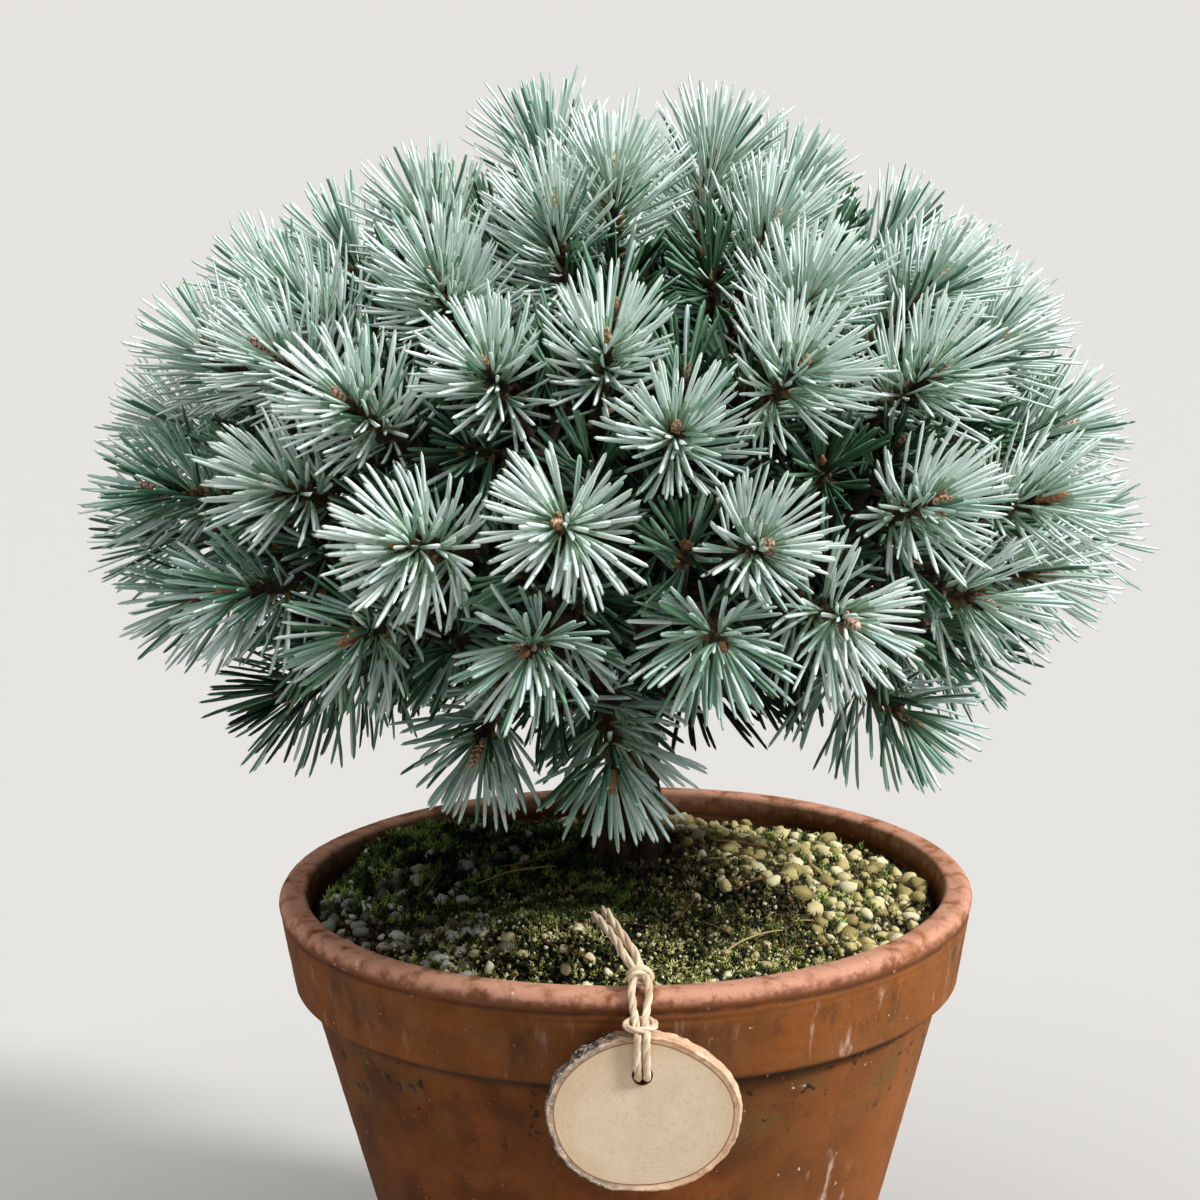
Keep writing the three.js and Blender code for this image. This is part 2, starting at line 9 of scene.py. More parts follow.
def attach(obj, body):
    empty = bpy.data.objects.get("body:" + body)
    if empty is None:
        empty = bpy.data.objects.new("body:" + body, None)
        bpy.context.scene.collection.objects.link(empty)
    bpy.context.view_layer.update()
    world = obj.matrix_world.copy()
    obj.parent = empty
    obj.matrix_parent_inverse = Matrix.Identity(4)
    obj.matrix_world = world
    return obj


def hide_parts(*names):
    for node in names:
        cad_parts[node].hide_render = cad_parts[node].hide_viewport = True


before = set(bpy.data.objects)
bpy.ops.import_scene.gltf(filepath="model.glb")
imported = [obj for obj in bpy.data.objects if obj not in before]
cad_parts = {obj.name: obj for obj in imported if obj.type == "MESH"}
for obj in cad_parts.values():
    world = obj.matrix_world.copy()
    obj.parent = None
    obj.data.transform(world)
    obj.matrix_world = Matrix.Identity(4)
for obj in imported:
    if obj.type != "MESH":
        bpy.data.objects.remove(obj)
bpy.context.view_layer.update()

mm = 0.001
goldenAngle = math.radians(137.508)


# small helpers
def linear(hexColour):
    parts = [int(hexColour[i:i + 2], 16) / 255 for i in (1, 3, 5)]
    return (*[c / 12.92 if c <= 0.04045 else ((c + 0.055) / 1.055) ** 2.4 for c in parts], 1.0)


def addNode(tree, kind, settings=None, inputs=None):
    # an input may be a value, a socket, or a node, which stands for the output that it has in use
    node = tree.nodes.new(kind)
    for name, value in (settings or {}).items():
        setattr(node, name, value)
    for key, value in (inputs or {}).items():
        if isinstance(value, bpy.types.Node):
            value = next(output for output in value.outputs if output.enabled)
        if isinstance(value, bpy.types.NodeSocket):
            tree.links.new(value, node.inputs[key])
        else:
            node.inputs[key].default_value = value
    return node


def newMaterial(name, shaderInputs):
    material = bpy.data.materials.new(name)
    material.use_nodes = True
    tree = material.node_tree
    tree.nodes.clear()
    shader = addNode(tree, "ShaderNodeBsdfPrincipled", inputs=shaderInputs)
    addNode(tree, "ShaderNodeOutputMaterial", inputs={"Surface": shader})
    return material, tree, shader


def plainLooks(colours, shaderInputs):
    # one material of a single colour for each name
    return [newMaterial(name, {"Base Color": linear(colour), **shaderInputs})[0]
            for name, colour in colours.items()]


def unit(vectors):
    return vectors / np.maximum(np.linalg.norm(vectors, axis=-1, keepdims=True), 1e-9)


def joinParts(parts):
    # parts are (places, triangles, slots); slots may be one number for the whole part
    places, triangles, slots, count = [], [], [], 0
    for part in parts:
        places.append(part[0])
        triangles.append(part[1] + count)
        slots.append(np.broadcast_to(part[2], len(part[1])))
        count += len(part[0])
    return np.concatenate(places), np.concatenate(triangles), np.concatenate(slots)


def makePiece(name, part, materials, smooth=True, values=None):
    # one mesh object from (places in millimetres, triangles, slots), with values kept at its points
    places, triangles, slots = part
    mesh = bpy.data.meshes.new(name)
    mesh.vertices.add(len(places))
    mesh.vertices.foreach_set("co", (places * mm).astype(np.float32).ravel())
    mesh.loops.add(3 * len(triangles))
    mesh.loops.foreach_set("vertex_index", triangles.astype(np.int32).ravel())
    mesh.polygons.add(len(triangles))
    mesh.polygons.foreach_set("loop_start", np.arange(0, 3 * len(triangles), 3, dtype=np.int32))
    mesh.polygons.foreach_set("material_index", np.broadcast_to(slots, len(triangles)).astype(np.int32))
    mesh.polygons.foreach_set("use_smooth", np.full(len(triangles), smooth))
    for material in materials:
        mesh.materials.append(material)
    mesh.update(calc_edges=True)
    for valueName, numbers in (values or {}).items():
        numbers = np.asarray(numbers, np.float32)
        isVector = numbers.ndim == 2
        stored = mesh.attributes.new(valueName, "FLOAT_VECTOR" if isVector else "FLOAT", "POINT")
        stored.data.foreach_set("vector" if isVector else "value", numbers.ravel())
    mesh.validate()
    piece = bpy.data.objects.new(name, mesh)
    bpy.context.scene.collection.objects.link(piece)
    return piece


def settle(piece, slot, *nodes):
    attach(piece, "root")
    if nodes:
        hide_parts(*nodes)
    print(piece.name, "triangles", len(piece.data.polygons))
    return piece


def frames(path):
    # two cross directions at each point of a path, carried along without twist
    tangents = unit(np.gradient(path, axis=0))
    start = np.array([0.0, 0.0, 1.0]) if abs(tangents[0][2]) < 0.85 else np.array([1.0, 0.0, 0.0])
    side = unit(np.cross(tangents[0], start))
    sides = []
    for tangent in tangents:
        side = unit(side - tangent * np.dot(side, tangent))
        sides.append(side)
    return np.array(sides), np.cross(tangents, sides)


def shootFrame(shoot):
    across, rise = frames(np.array([shoot["base"], shoot["bud"]]))
    return across[0], rise[0]


def anglesRound(count):
    return 2 * np.pi * np.arange(count) / count


def skinRings(rings, slot=0):
    # closed skin over rings of points, shape (count, sides, 3), ends closed by a middle point
    count, sides, _ = rings.shape
    places = np.concatenate([rings.reshape(-1, 3), rings[0].mean(0)[None], rings[-1].mean(0)[None]])
    k = np.arange(sides)
    following = (k + 1) % sides
    row = (np.arange(count - 1) * sides)[:, None]
    a, b = row + k, row + following
    c, d = b + sides, a + sides
    body = np.concatenate([np.stack([a, b, c], -1).reshape(-1, 3), np.stack([a, c, d], -1).reshape(-1, 3)])
    first, last = count * sides, count * sides + 1
    foot = np.stack([np.full(sides, first), following, k], -1)
    top = (count - 1) * sides
    tip = np.stack([np.full(sides, last), top + k, top + following], -1)
    triangles = np.concatenate([body, foot, tip])
    return places, triangles, np.full(len(triangles), slot)


def sweep(path, radii, sides, slot=0):
    # a limb along a path; radii is one for each ring, or one for each ring and side
    radii = np.asarray(radii, float)
    if radii.ndim == 1:
        radii = np.repeat(radii[:, None], sides, 1)
    across, rise = frames(path)
    angles = anglesRound(sides)[:, None]
    ring = across[:, None] * np.cos(angles) + rise[:, None] * np.sin(angles)
    return skinRings(path[:, None] + ring * radii[..., None], slot)


def bezier(points, t):
    # quadratic or cubic curve through its control points' hull, at each t
    level = [np.asarray(p, float)[None] for p in points]
    t = np.asarray(t, float)[:, None]
    while len(level) > 1:
        level = [a * (1 - t) + b * t for a, b in zip(level, level[1:])]
    return level[0]


def lengthsAlong(path):
    return np.concatenate([[0], np.cumsum(np.linalg.norm(np.diff(path, axis=0), axis=1))])


def smoothPath(points, count):
    # an even path through a few points, as a smooth spline
    points = np.asarray(points, float)
    padded = np.vstack([2 * points[0] - points[1], points, 2 * points[-1] - points[-2]])
    fine = []
    for i in range(len(points) - 1):
        p0, p1, p2, p3 = padded[i:i + 4]
        t = np.linspace(0, 1, 24, endpoint=i == len(points) - 2)[:, None]
        fine.append(0.5 * (2 * p1 + (p2 - p0) * t + (2 * p0 - 5 * p1 + 4 * p2 - p3) * t ** 2
                           + (3 * p1 - p0 - 3 * p2 + p3) * t ** 3))
    fine = np.vstack(fine)
    along = lengthsAlong(fine)
    even = np.linspace(0, along[-1], count)
    return np.stack([np.interp(even, along, fine[:, axis]) for axis in range(3)], -1)


def roughness3(places, scale, seed):
    # smooth noise from -1 to 1 at points in millimetres, for a feature size in millimetres
    shift = Vector((seed * 17.3, seed * 5.1, seed * 11.7))
    return np.array([noise.noise(Vector(p) / scale + shift) for p in places.tolist()])


def keepResult(piece):
    # what the modifiers make becomes the plain mesh
    plain = bpy.data.meshes.new_from_object(piece.evaluated_get(bpy.context.evaluated_depsgraph_get()))
    piece.modifiers.clear()
    piece.data = plain


def drillHole(piece, path, radius, looks=(), smooth=True):
    # a round hole along a path; its wall takes the drill's look, where it has one
    drill = makePiece("drill", sweep(path, [radius] * len(path), 40), looks, smooth)
    cut = piece.modifiers.new("hole", "BOOLEAN")
    cut.operation, cut.solver, cut.object = "DIFFERENCE", "EXACT", drill
    if looks:
        cut.material_mode = "TRANSFER"
    keepResult(piece)
    bpy.data.objects.remove(drill)


# geometry nodes: trees that set small meshes out, and their result as a plain mesh
placingValues = ("along", "ridge", "width", "length", "kind", "bow", "share", "look", "tone")


def newTree(name, inputs):
    tree = bpy.data.node_groups.new(name, "GeometryNodeTree")
    for inputName, kind in inputs.items():
        tree.interface.new_socket(inputName, in_out="INPUT", socket_type=f"NodeSocket{kind}")
    tree.interface.new_socket("Result", in_out="OUTPUT", socket_type="NodeSocketGeometry")
    return tree, addNode(tree, "NodeGroupInput").outputs


def finishTree(tree, flow, name, looks):
    # every face takes the material whose number is stored on it
    number = addNode(tree, "GeometryNodeInputNamedAttribute", {"data_type": "INT"}, {"Name": name})
    for k, look in enumerate(looks):
        same = addNode(tree, "FunctionNodeCompare", {"data_type": "INT", "operation": "EQUAL"}, {
            2: number, 3: k})
        flow = addNode(tree, "GeometryNodeSetMaterial", inputs={
            "Geometry": flow, "Selection": same, "Material": look})
    addNode(tree, "NodeGroupOutput", inputs={"Result": flow})
    return tree


def instances(tree, given, points, kind, rotation, size):
    # one of the small meshes on every point, by its kind
    pieces = addNode(tree, "GeometryNodeCollectionInfo", inputs={
        "Collection": given["Pieces"], "Separate Children": True, "Reset Children": True})
    return addNode(tree, "GeometryNodeInstanceOnPoints", inputs={
        "Points": points, "Instance": pieces, "Pick Instance": True,
        "Instance Index": kind, "Rotation": rotation, "Scale": size})


def growthTree(name, looks):
    # sets a piece on every point, by the directions, size, bow and kind that the point carries
    tree, given = newTree(name, {
        "Points": "Geometry", "Pieces": "Collection", "Thickness": "Float", "Length": "Float"})
    valueKinds = {"along": "FLOAT_VECTOR", "ridge": "FLOAT_VECTOR", "bow": "FLOAT_VECTOR",
                  "width": "FLOAT", "length": "FLOAT", "share": "FLOAT", "kind": "INT"}
    carried = {value: addNode(tree, "GeometryNodeInputNamedAttribute", {"data_type": kind}, {"Name": value})
               for value, kind in valueKinds.items()}
    rotation = addNode(tree, "FunctionNodeAxesToRotation", {"primary_axis": "Z", "secondary_axis": "X"}, {
        "Primary Axis": carried["along"], "Secondary Axis": carried["ridge"]})
    thickness = addNode(tree, "ShaderNodeMath", {"operation": "MULTIPLY"}, {
        0: carried["width"], 1: given["Thickness"]})
    length = addNode(tree, "ShaderNodeMath", {"operation": "MULTIPLY"}, {
        0: carried["length"], 1: given["Length"]})
    size = addNode(tree, "ShaderNodeCombineXYZ", inputs={"X": thickness, "Y": thickness, "Z": length})
    placed = instances(tree, given, given["Points"], carried["kind"], rotation, size)
    whole = addNode(tree, "GeometryNodeRealizeInstances", inputs={"Geometry": placed})
    # the bow grows with the square of the share of the length
    square = addNode(tree, "ShaderNodeMath", {"operation": "MULTIPLY"}, {
        0: carried["share"], 1: carried["share"]})
    bow = addNode(tree, "ShaderNodeVectorMath", {"operation": "SCALE"}, {
        0: carried["bow"], "Scale": square})
    bowed = addNode(tree, "GeometryNodeSetPosition", inputs={"Geometry": whole, "Offset": bow})
    return finishTree(tree, bowed, "look", looks)


def runTree(piece, tree, kinds, settings):
    # sets the kinds of small mesh out over a piece, and keeps the result as its plain mesh
    collection = bpy.data.collections.new(piece.name)
    sources = []
    for k, (kind, values) in enumerate(kinds):
        source = makePiece(f"{piece.name}_source_{k}", kind, [], values=values)
        look = source.data.attributes.new("look", "INT", "FACE")
        look.data.foreach_set("value", np.broadcast_to(kind[2], len(kind[1])).astype(np.int32))
        bpy.context.scene.collection.objects.unlink(source)
        collection.objects.link(source)
        sources.append(source)
    modifier = piece.modifiers.new("setOut", "NODES")
    modifier.node_group = tree
    settings = {"Pieces": collection, **settings}
    for item in tree.interface.items_tree:
        if item.in_out == "INPUT" and item.name in settings:
            modifier[item.identifier] = settings[item.name]
    keepResult(piece)
    stored = piece.data.attributes
    for name in [value.name for value in stored if value.name in placingValues]:
        stored.remove(stored[name])
    for source in sources:
        bpy.data.objects.remove(source)
    bpy.data.collections.remove(collection)
    return piece


def growPiece(name, tree, kinds, places, values, thickness=1.0):
    # places in millimetres; directions, sizes and kinds as values at them
    noTriangles = (places, np.zeros((0, 3), int), np.zeros(0, int))
    points = makePiece(name, noTriangles, [], values=values)
    return runTree(points, tree, kinds, {"Thickness": thickness, "Length": 1.0})


# camera, floor and light
cameraSizes = {
    "distance": 900.0,         # from the middle of the rim
    "elevation": 17.5,
    "roll": -0.717,
    "focalPixels": 4140.4,     # of a frame 1200 pixels wide
    "rimPixel": (622.58, 881.25),
    "frameWidth": 1200.0,
    "rimHeight": 104.0,
}


def placeCamera(sizes):
    half = sizes["frameWidth"] / 2
    focal = sizes["focalPixels"]
    elevation = math.radians(sizes["elevation"])
    yaw = math.atan((sizes["rimPixel"][0] - half) / focal)
    pitch = elevation - math.atan((sizes["rimPixel"][1] - half) / focal * math.cos(yaw))
    forward = Matrix.Rotation(yaw, 3, "Z") @ Vector((0, math.cos(pitch), -math.sin(pitch)))
    right = forward.cross(Vector((0, 0, 1))).normalized()
    up = right.cross(forward)
    roll = math.radians(sizes["roll"])
    across = right * math.cos(roll) + up * math.sin(roll)
    upward = up * math.cos(roll) - right * math.sin(roll)
    data = bpy.data.cameras.new("camera")
    data.sensor_width = 36
    data.lens = focal / sizes["frameWidth"] * data.sensor_width
    camera = bpy.data.objects.new("camera", data)
    bpy.context.scene.collection.objects.link(camera)
    place = Vector((0, -math.cos(elevation), math.sin(elevation))) * sizes["distance"]
    place.z += sizes["rimHeight"]
    turn = Matrix((across, upward, -forward)).transposed()
    camera.matrix_world = Matrix.Translation(place * mm) @ turn.to_4x4()
    bpy.context.scene.camera = camera


placeCamera(cameraSizes)

lightSizes = {
    "sunFrom": (0.92, -0.36, 1.0), "sunStrength": 4.3, "sunAngle": 11.0,
    "overheadFrom": (0.0, 0.0, 2.0), "overheadStrength": 4.2, "overheadAngle": 80.0,
    "fillFrom": (-0.7, -1.3, 0.7), "fillWidth": 1.0, "fillWatts": 1.6,
    "aimHeight": 0.16, "sky": 0.06, "floorReach": 15,
}


def addLight(name, kind, place, settings):
    data = bpy.data.lights.new(name, kind)
    for key, value in settings.items():
        setattr(data, key, value)
    light = bpy.data.objects.new(name, data)
    bpy.context.scene.collection.objects.link(light)
    light.location = place
    aim = Vector((0, 0, lightSizes["aimHeight"])) - Vector(place)
    light.rotation_euler = aim.to_track_quat("-Z", "Y").to_euler()


addLight("keyLight", "SUN", lightSizes["sunFrom"], {
    "energy": lightSizes["sunStrength"], "angle": math.radians(lightSizes["sunAngle"])})
addLight("overheadLight", "SUN", lightSizes["overheadFrom"], {
    "energy": lightSizes["overheadStrength"], "angle": math.radians(lightSizes["overheadAngle"])})
addLight("fillLight", "AREA", lightSizes["fillFrom"], {
    "shape": "DISK", "size": lightSizes["fillWidth"], "energy": lightSizes["fillWatts"]})
world = bpy.data.worlds.new("softRoom")
world.use_nodes = True
world.node_tree.nodes["Background"].inputs["Color"].default_value = linear("#f2f4f6")
world.node_tree.nodes["Background"].inputs["Strength"].default_value = lightSizes["sky"]
bpy.context.scene.world = world
bpy.context.scene.view_settings.view_transform = "Standard"

floorMesh = bpy.data.meshes.new("floor")
reach = lightSizes["floorReach"]
corners = [(-reach, -reach, 0), (reach, -reach, 0), (reach, reach, 0), (-reach, reach, 0)]
floorMesh.from_pydata(corners, [], [(0, 1, 2, 3)])
floorMesh.materials.append(plainLooks({"paintedBoardFloor": "#9e9c99"}, {"Roughness": 0.8})[0])
floor = bpy.data.objects.new("floor", floorMesh)
bpy.context.scene.collection.objects.link(floor)
print("camera, floor and light are set")


# patterns that several materials share, sized in millimetres
softStep = {"interpolation_type": "SMOOTHSTEP"}


def patchMask(tree, place, size, low, high, detail=3.0, stretch=(1, 1, 1)):
    # soft patches of a size: 0 where the noise is under low, 1 where it is over high
    mapping = addNode(tree, "ShaderNodeMapping", inputs={"Vector": place, "Scale": stretch})
    pattern = addNode(tree, "ShaderNodeTexNoise", inputs={
        "Vector": mapping, "Scale": 1 / (size * mm), "Detail": detail, "Roughness": 0.6})
    return addNode(tree, "ShaderNodeMapRange", softStep, {
        "Value": pattern, "From Min": low, "From Max": high})


def bandMask(tree, value, low, high, soft):
    # 1 between two levels of a value and 0 outside them
    rising = addNode(tree, "ShaderNodeMapRange", softStep, {
        "Value": value, "From Min": low - soft, "From Max": low + soft})
    falling = addNode(tree, "ShaderNodeMapRange", softStep, {
        "Value": value, "From Min": high - soft, "From Max": high + soft, "To Min": 1.0, "To Max": 0.0})
    return addNode(tree, "ShaderNodeMath", {"operation": "MULTIPLY"}, {0: rising, 1: falling})


def paintLayers(tree, shader, base, layers):
    # lays colours over a base colour, each where its masks are strong, as the shader's colour
    flow = linear(base)
    for colour, strength, *masks in layers:
        factor = strength
        for mask in masks:
            factor = addNode(tree, "ShaderNodeMath", {"operation": "MULTIPLY"}, {0: mask, 1: factor})
        flow = addNode(tree, "ShaderNodeMix", {"data_type": "RGBA"}, {
            "Factor": factor, 6: flow, 7: linear(colour)})
    tree.links.new(flow.outputs[2], shader.inputs["Base Color"])


# the pot: thrown terracotta, fired unglazed, weathered outdoors
potSizes = {
    "height": 104.0, "rim": 75.0, "base": 47.0,
    "collarHeight": 21.0, "collarTaper": 3.1, "collarStep": 3.4,
    "wall": 5.8, "floor": 7.0, "lip": 2.4, "edge": 1.4,
    "grooves": ((4.5, 0.34, 0.7), (6.4, 0.14, 0.5)),
    "drainRadius": 5.0, "drainCircle": 24.0, "drains": 3,
    "segments": 256,
    # relief: (size, depth)
    "throwingRings": (1.7, 0.07), "wobble": (42, 0.28), "grain": (1.9, 0.05),
    "lipWobble": 0.35, "lipGrain": 0.04,
    # how far a ring holds round the pot against its height, and where the relief fades in
    "ringHold": 0.12, "reliefFrom": 1.0, "reliefFade": 4, "lipFrom": 96, "lipFade": 8,
}
shoulderHeight = potSizes["height"] - potSizes["collarHeight"]
collarFoot = potSizes["rim"] - potSizes["collarTaper"]
shoulderRadius = collarFoot - potSizes["collarStep"]
wallSlope = (shoulderRadius - potSizes["base"]) / shoulderHeight


def innerRadius(height):
    atShoulder = shoulderRadius - potSizes["wall"]
    if height <= shoulderHeight:
        return atShoulder - wallSlope * (shoulderHeight - height)
    share = (height - shoulderHeight) / potSizes["collarHeight"]
    return atShoulder + (potSizes["rim"] - potSizes["wall"] - atShoulder) * share


def arc(radius, height, size, fromAngle, toAngle, steps):
    angles = np.radians(np.linspace(fromAngle, toAngle, steps))
    return [(radius + size * math.cos(a), height + size * math.sin(a)) for a in angles]


def straight(first, last, spacing):
    # points along a line, with both ends left out
    count = max(2, round(math.dist(first, last) / spacing))
    return [tuple(np.add(first, np.subtract(last, first) * i / count)) for i in range(1, count)]


def potOutline(sizes):
    edge, lip = sizes["edge"], sizes["lip"]
    foot = arc(sizes["base"] - edge, edge, edge, -90, 0, 5)
    underCollar = (shoulderRadius, shoulderHeight)
    collarEdge = arc(collarFoot - edge, shoulderHeight + edge, edge, -90, 0, 6)
    lipEdge = arc(sizes["rim"] - lip, sizes["height"] - lip, lip, 0, 90, 9)
    inner = sizes["height"] - edge
    innerEdge = arc(innerRadius(inner) + edge, inner, edge, 90, 180, 6)
    floorEdge = (innerRadius(sizes["floor"]), sizes["floor"])
    points = [(6, 0)] + straight((6, 0), foot[0], 4) + foot + straight(foot[-1], underCollar, 1.6)
    points += [underCollar] + collarEdge + straight(collarEdge[-1], lipEdge[0], 0.45) + lipEdge
    points += straight(lipEdge[-1], innerEdge[0], 0.8) + innerEdge
    points += straight(innerEdge[-1], floorEdge, 3) + [floorEdge] + straight(floorEdge, (6, floorEdge[1]), 5)
    return np.array(points)


def turnedShape(outline, segments, relief=None):
    # outline of (radius, height) turned about the upright axis
    angles = anglesRound(segments)
    radii = np.repeat(outline[:, :1], segments, 1)
    heights = np.repeat(outline[:, 1:], segments, 1)
    if relief is not None:
        radii, heights = relief(radii, heights, angles[None])
    return np.stack([radii * np.cos(angles), radii * np.sin(angles), heights], -1)


def potRelief(sizes):
    ringSize, ringDepth = sizes["throwingRings"]
    wobbleSize, wobbleDepth = sizes["wobble"]
    grainSize, grainDepth = sizes["grain"]

    def relief(radii, heights, angles):
        x, y = radii * np.cos(angles), radii * np.sin(angles)
        flat = np.stack([x, y, heights], -1).reshape(-1, 3)
        slow = roughness3(flat, wobbleSize, 1).reshape(radii.shape)
        grain = roughness3(flat, grainSize, 2).reshape(radii.shape)
        level = flat * np.array([sizes["ringHold"], sizes["ringHold"], 1])
        ringNoise = roughness3(level, ringSize, 3).reshape(radii.shape)
        outside = np.clip((heights - sizes["reliefFrom"]) / sizes["reliefFade"], 0, 1)
        onLip = np.clip((heights - sizes["lipFrom"]) / sizes["lipFade"], 0, 1)
        below = sizes["height"] - heights
        outer = radii > collarFoot - 1
        dip = sum(np.exp(-((below - down) / width) ** 2) * depth
                  for down, depth, width in sizes["grooves"]) * outer
        change = slow * wobbleDepth + ringNoise * ringDepth + grain * grainDepth
        lift = (slow * sizes["lipWobble"] + grain * sizes["lipGrain"]) * onLip
        return radii + change * outside - dip, heights + lift
    return relief


def terracottaMaterial():
    # terracotta, thrown and fired unglazed: matt, slightly grainy, with patches from the kiln,
    # a worn pinkish rim, white salts drawn out in runs, and dark growth under the collar;
    # the right side is painted lighter as painted light, with painted shade in the groove below
    # the lip and a painted shadow under the collar
    material, tree, shader = newMaterial("firedTerracotta", {
        "Roughness": 0.85, "IOR": 1.5, "Specular IOR Level": 0.25})
    place = addNode(tree, "ShaderNodeTexCoord").outputs["Object"]
    parts = addNode(tree, "ShaderNodeSeparateXYZ", inputs={"Vector": place}).outputs
    height = parts["Z"]
    firing = patchMask(tree, place, 34, 0.35, 0.68, detail=5)
    cloud = patchMask(tree, place, 12, 0.42, 0.60, detail=7)
    ashen = patchMask(tree, place, 19, 0.50, 0.66, detail=6)
    grain = patchMask(tree, place, 0.6, 0.35, 0.7, detail=2)
    speckle = patchMask(tree, place, 2.0, 0.60, 0.70, detail=5)
    # painted light: the pot is painted lighter towards its right side, where the key light falls
    paintedLightOnRight = addNode(tree, "ShaderNodeMapRange", softStep, {
        "Value": parts["X"], "From Min": 0.005, "From Max": 0.075})
    collar = bandMask(tree, height, 0.0835, 0.2, 0.002)
    rim = bandMask(tree, height, 0.1014, 0.2, 0.0012)
    rimWear = patchMask(tree, place, 5, 0.28, 0.56, detail=7)
    rimShade = bandMask(tree, height, 0.0996, 0.1024, 0.0008)
    rimShadeGaps = patchMask(tree, place, 2.6, 0.44, 0.58, detail=7)
    # painted shade: a dark line painted along the groove below the lip
    paintedGrooveShade = bandMask(tree, height, 0.0990, 0.0999, 0.0004)
    grooveGaps = patchMask(tree, place, 9, 0.34, 0.50)
    stains = patchMask(tree, place, 7, 0.52, 0.66, detail=5, stretch=(1, 1, 0.35))
    stainFade = bandMask(tree, height, 0.086, 0.0985, 0.004)
    # painted shadow: a dark band painted right under the collar's overhang
    paintedCollarShadow = bandMask(tree, height, 0.0808, 0.0832, 0.0012)
    underCollar = bandMask(tree, height, 0.0655, 0.0825, 0.006)
    growth = patchMask(tree, place, 3.4, 0.60, 0.67, detail=4)
    greening = patchMask(tree, place, 13, 0.45, 0.66, detail=5)
    runs = patchMask(tree, place, 5.0, 0.57, 0.70, detail=5, stretch=(1, 1, 0.2))
    runFade = patchMask(tree, place, 24, 0.50, 0.62)
    belowRim = bandMask(tree, height, -1.0, 0.0975, 0.002)
    mostlyRight = addNode(tree, "ShaderNodeMapRange", softStep, {
        "Value": parts["X"], "From Min": -0.05, "From Max": 0.04, "To Min": 0.3})
    collarRuns = patchMask(tree, place, 3.6, 0.61, 0.74, detail=5, stretch=(1, 1, 0.16))
    salts = patchMask(tree, place, 1.6, 0.67, 0.73, detail=4)
    saltFields = patchMask(tree, place, 12, 0.48, 0.60)
    paintLayers(tree, shader, "#643710", [
        ("#88491b", 0.80, firing),
        ("#44250b", 0.60, cloud),
        ("#6d5039", 0.50, ashen, collar),
        # painted light on the right side
        ("#b46d31", 0.38, paintedLightOnRight),
        ("#86501f", 0.30, collar),
        ("#4e2a13", 0.22, grain),
        ("#3c2616", 0.55, stains, stainFade),
        ("#c8937a", 0.85, rim, rimWear),
        ("#74432f", 0.70, rimShade, rimShadeGaps),
        # painted shade in the groove
        ("#3a2417", 0.65, paintedGrooveShade, grooveGaps),
        # painted shadow under the collar
        ("#241a0e", 0.80, paintedCollarShadow),
        ("#5d5228", 0.50, underCollar, greening),
        ("#1d1a14", 0.90, underCollar, growth),
        ("#dcbeac", 0.55, runs, runFade, belowRim, mostlyRight),
        ("#dcbeac", 0.45, collarRuns, collar, belowRim, mostlyRight),
        ("#ecdccd", 0.80, salts, saltFields),
        ("#5a3524", 0.55, speckle),
    ])
    fineGrain = addNode(tree, "ShaderNodeTexNoise", inputs={
        "Vector": place, "Scale": 1 / (0.6 * mm), "Detail": 5.0, "Roughness": 0.7})
    bump = addNode(tree, "ShaderNodeBump", inputs={
        "Strength": 0.45, "Distance": 0.25 * mm, "Height": fineGrain})
    tree.links.new(bump.outputs["Normal"], shader.inputs["Normal"])
    return material


def makePot(sizes):
    rings = turnedShape(potOutline(sizes), sizes["segments"], potRelief(sizes))
    pot = makePiece("clay_pot", skinRings(rings), [terracottaMaterial()])
    for i in range(sizes["drains"]):
        angle = 2 * math.pi * (i + 0.5) / sizes["drains"]
        centre = np.array([math.cos(angle), math.sin(angle), 0]) * sizes["drainCircle"]
        drillHole(pot, centre + np.array([[0, 0, -4], [0, 0, 4], [0, 0, 12]]), sizes["drainRadius"])
    return settle(pot, "terracotta", "pot")


makePot(potSizes)
print("pot is turned")


# growth: the same seeded rule as the solids follow, in millimetres
gap = 0.3
trunkSizes = {
    "start": 102.0, "top": 222.0, "footBack": 15.0, "sway": 2.2,
    "foot": 6.6, "tip": 1.9, "flare": 3.6, "flareHeight": 9.0,
}
crownShell = {"level": 190.0, "halfWidth": 97.0, "halfDepth": 92.0, "above": 68.0, "below": 58.0}
# every ring is: angle up the shell, zigzag, shoots, fewer in every other mass, spread, offset, out
whorls = [
    {"name": "low", "masses": 6, "phase": -12, "rise": 41, "stagger": 5, "boughRadius": 2.5,
     "rings": [(-12, 2, 3, 0, 1, 0, 1), (-42, 1, 2, 1, 0.7, 0, 1)]},
    {"name": "mid", "masses": 8, "phase": 6.5, "rise": 62, "stagger": 9, "boughRadius": 2.0,
     "rings": [(7.5, 2, 2, 0, 1, 0, 1), (32, 3, 2, 0, 1, -12, 1)]},
    {"name": "top", "masses": 5, "phase": -21, "rise": 84, "stagger": 5, "boughRadius": 1.7,
     "rings": [(46, 3, 2, 0, 1, 0, 1), (65, 0, 1, 0, 1, 0, 1)]},
    {"name": "leader", "masses": 1, "phase": 120, "rise": 0, "stagger": 0, "boughRadius": 1.7,
     "rings": [(79, 0, 3, 0, 1, 0, 1.09)]},
]
growth = {
    "seed": 4782, "angleJitter": 3.5, "shellJitter": 0.03, "aimJitter": 7, "aimShare": 0.85,
    "aimLift": 10, "hubShare": 0.74, "boughSag": 3, "twigRootDepth": 2.5,
    "twigLead": 0.35, "cladLength": 26,
}


def seededRandom(seed):
    state = seed
    while True:
        state = (state * 1664525 + 1013904223) % 4294967296
        yield state / 4294967296


def direction(azimuth, elevation):
    a, e = math.radians(azimuth), math.radians(elevation)
    return np.array([math.cos(e) * math.sin(a), -math.cos(e) * math.cos(a), math.sin(e)])


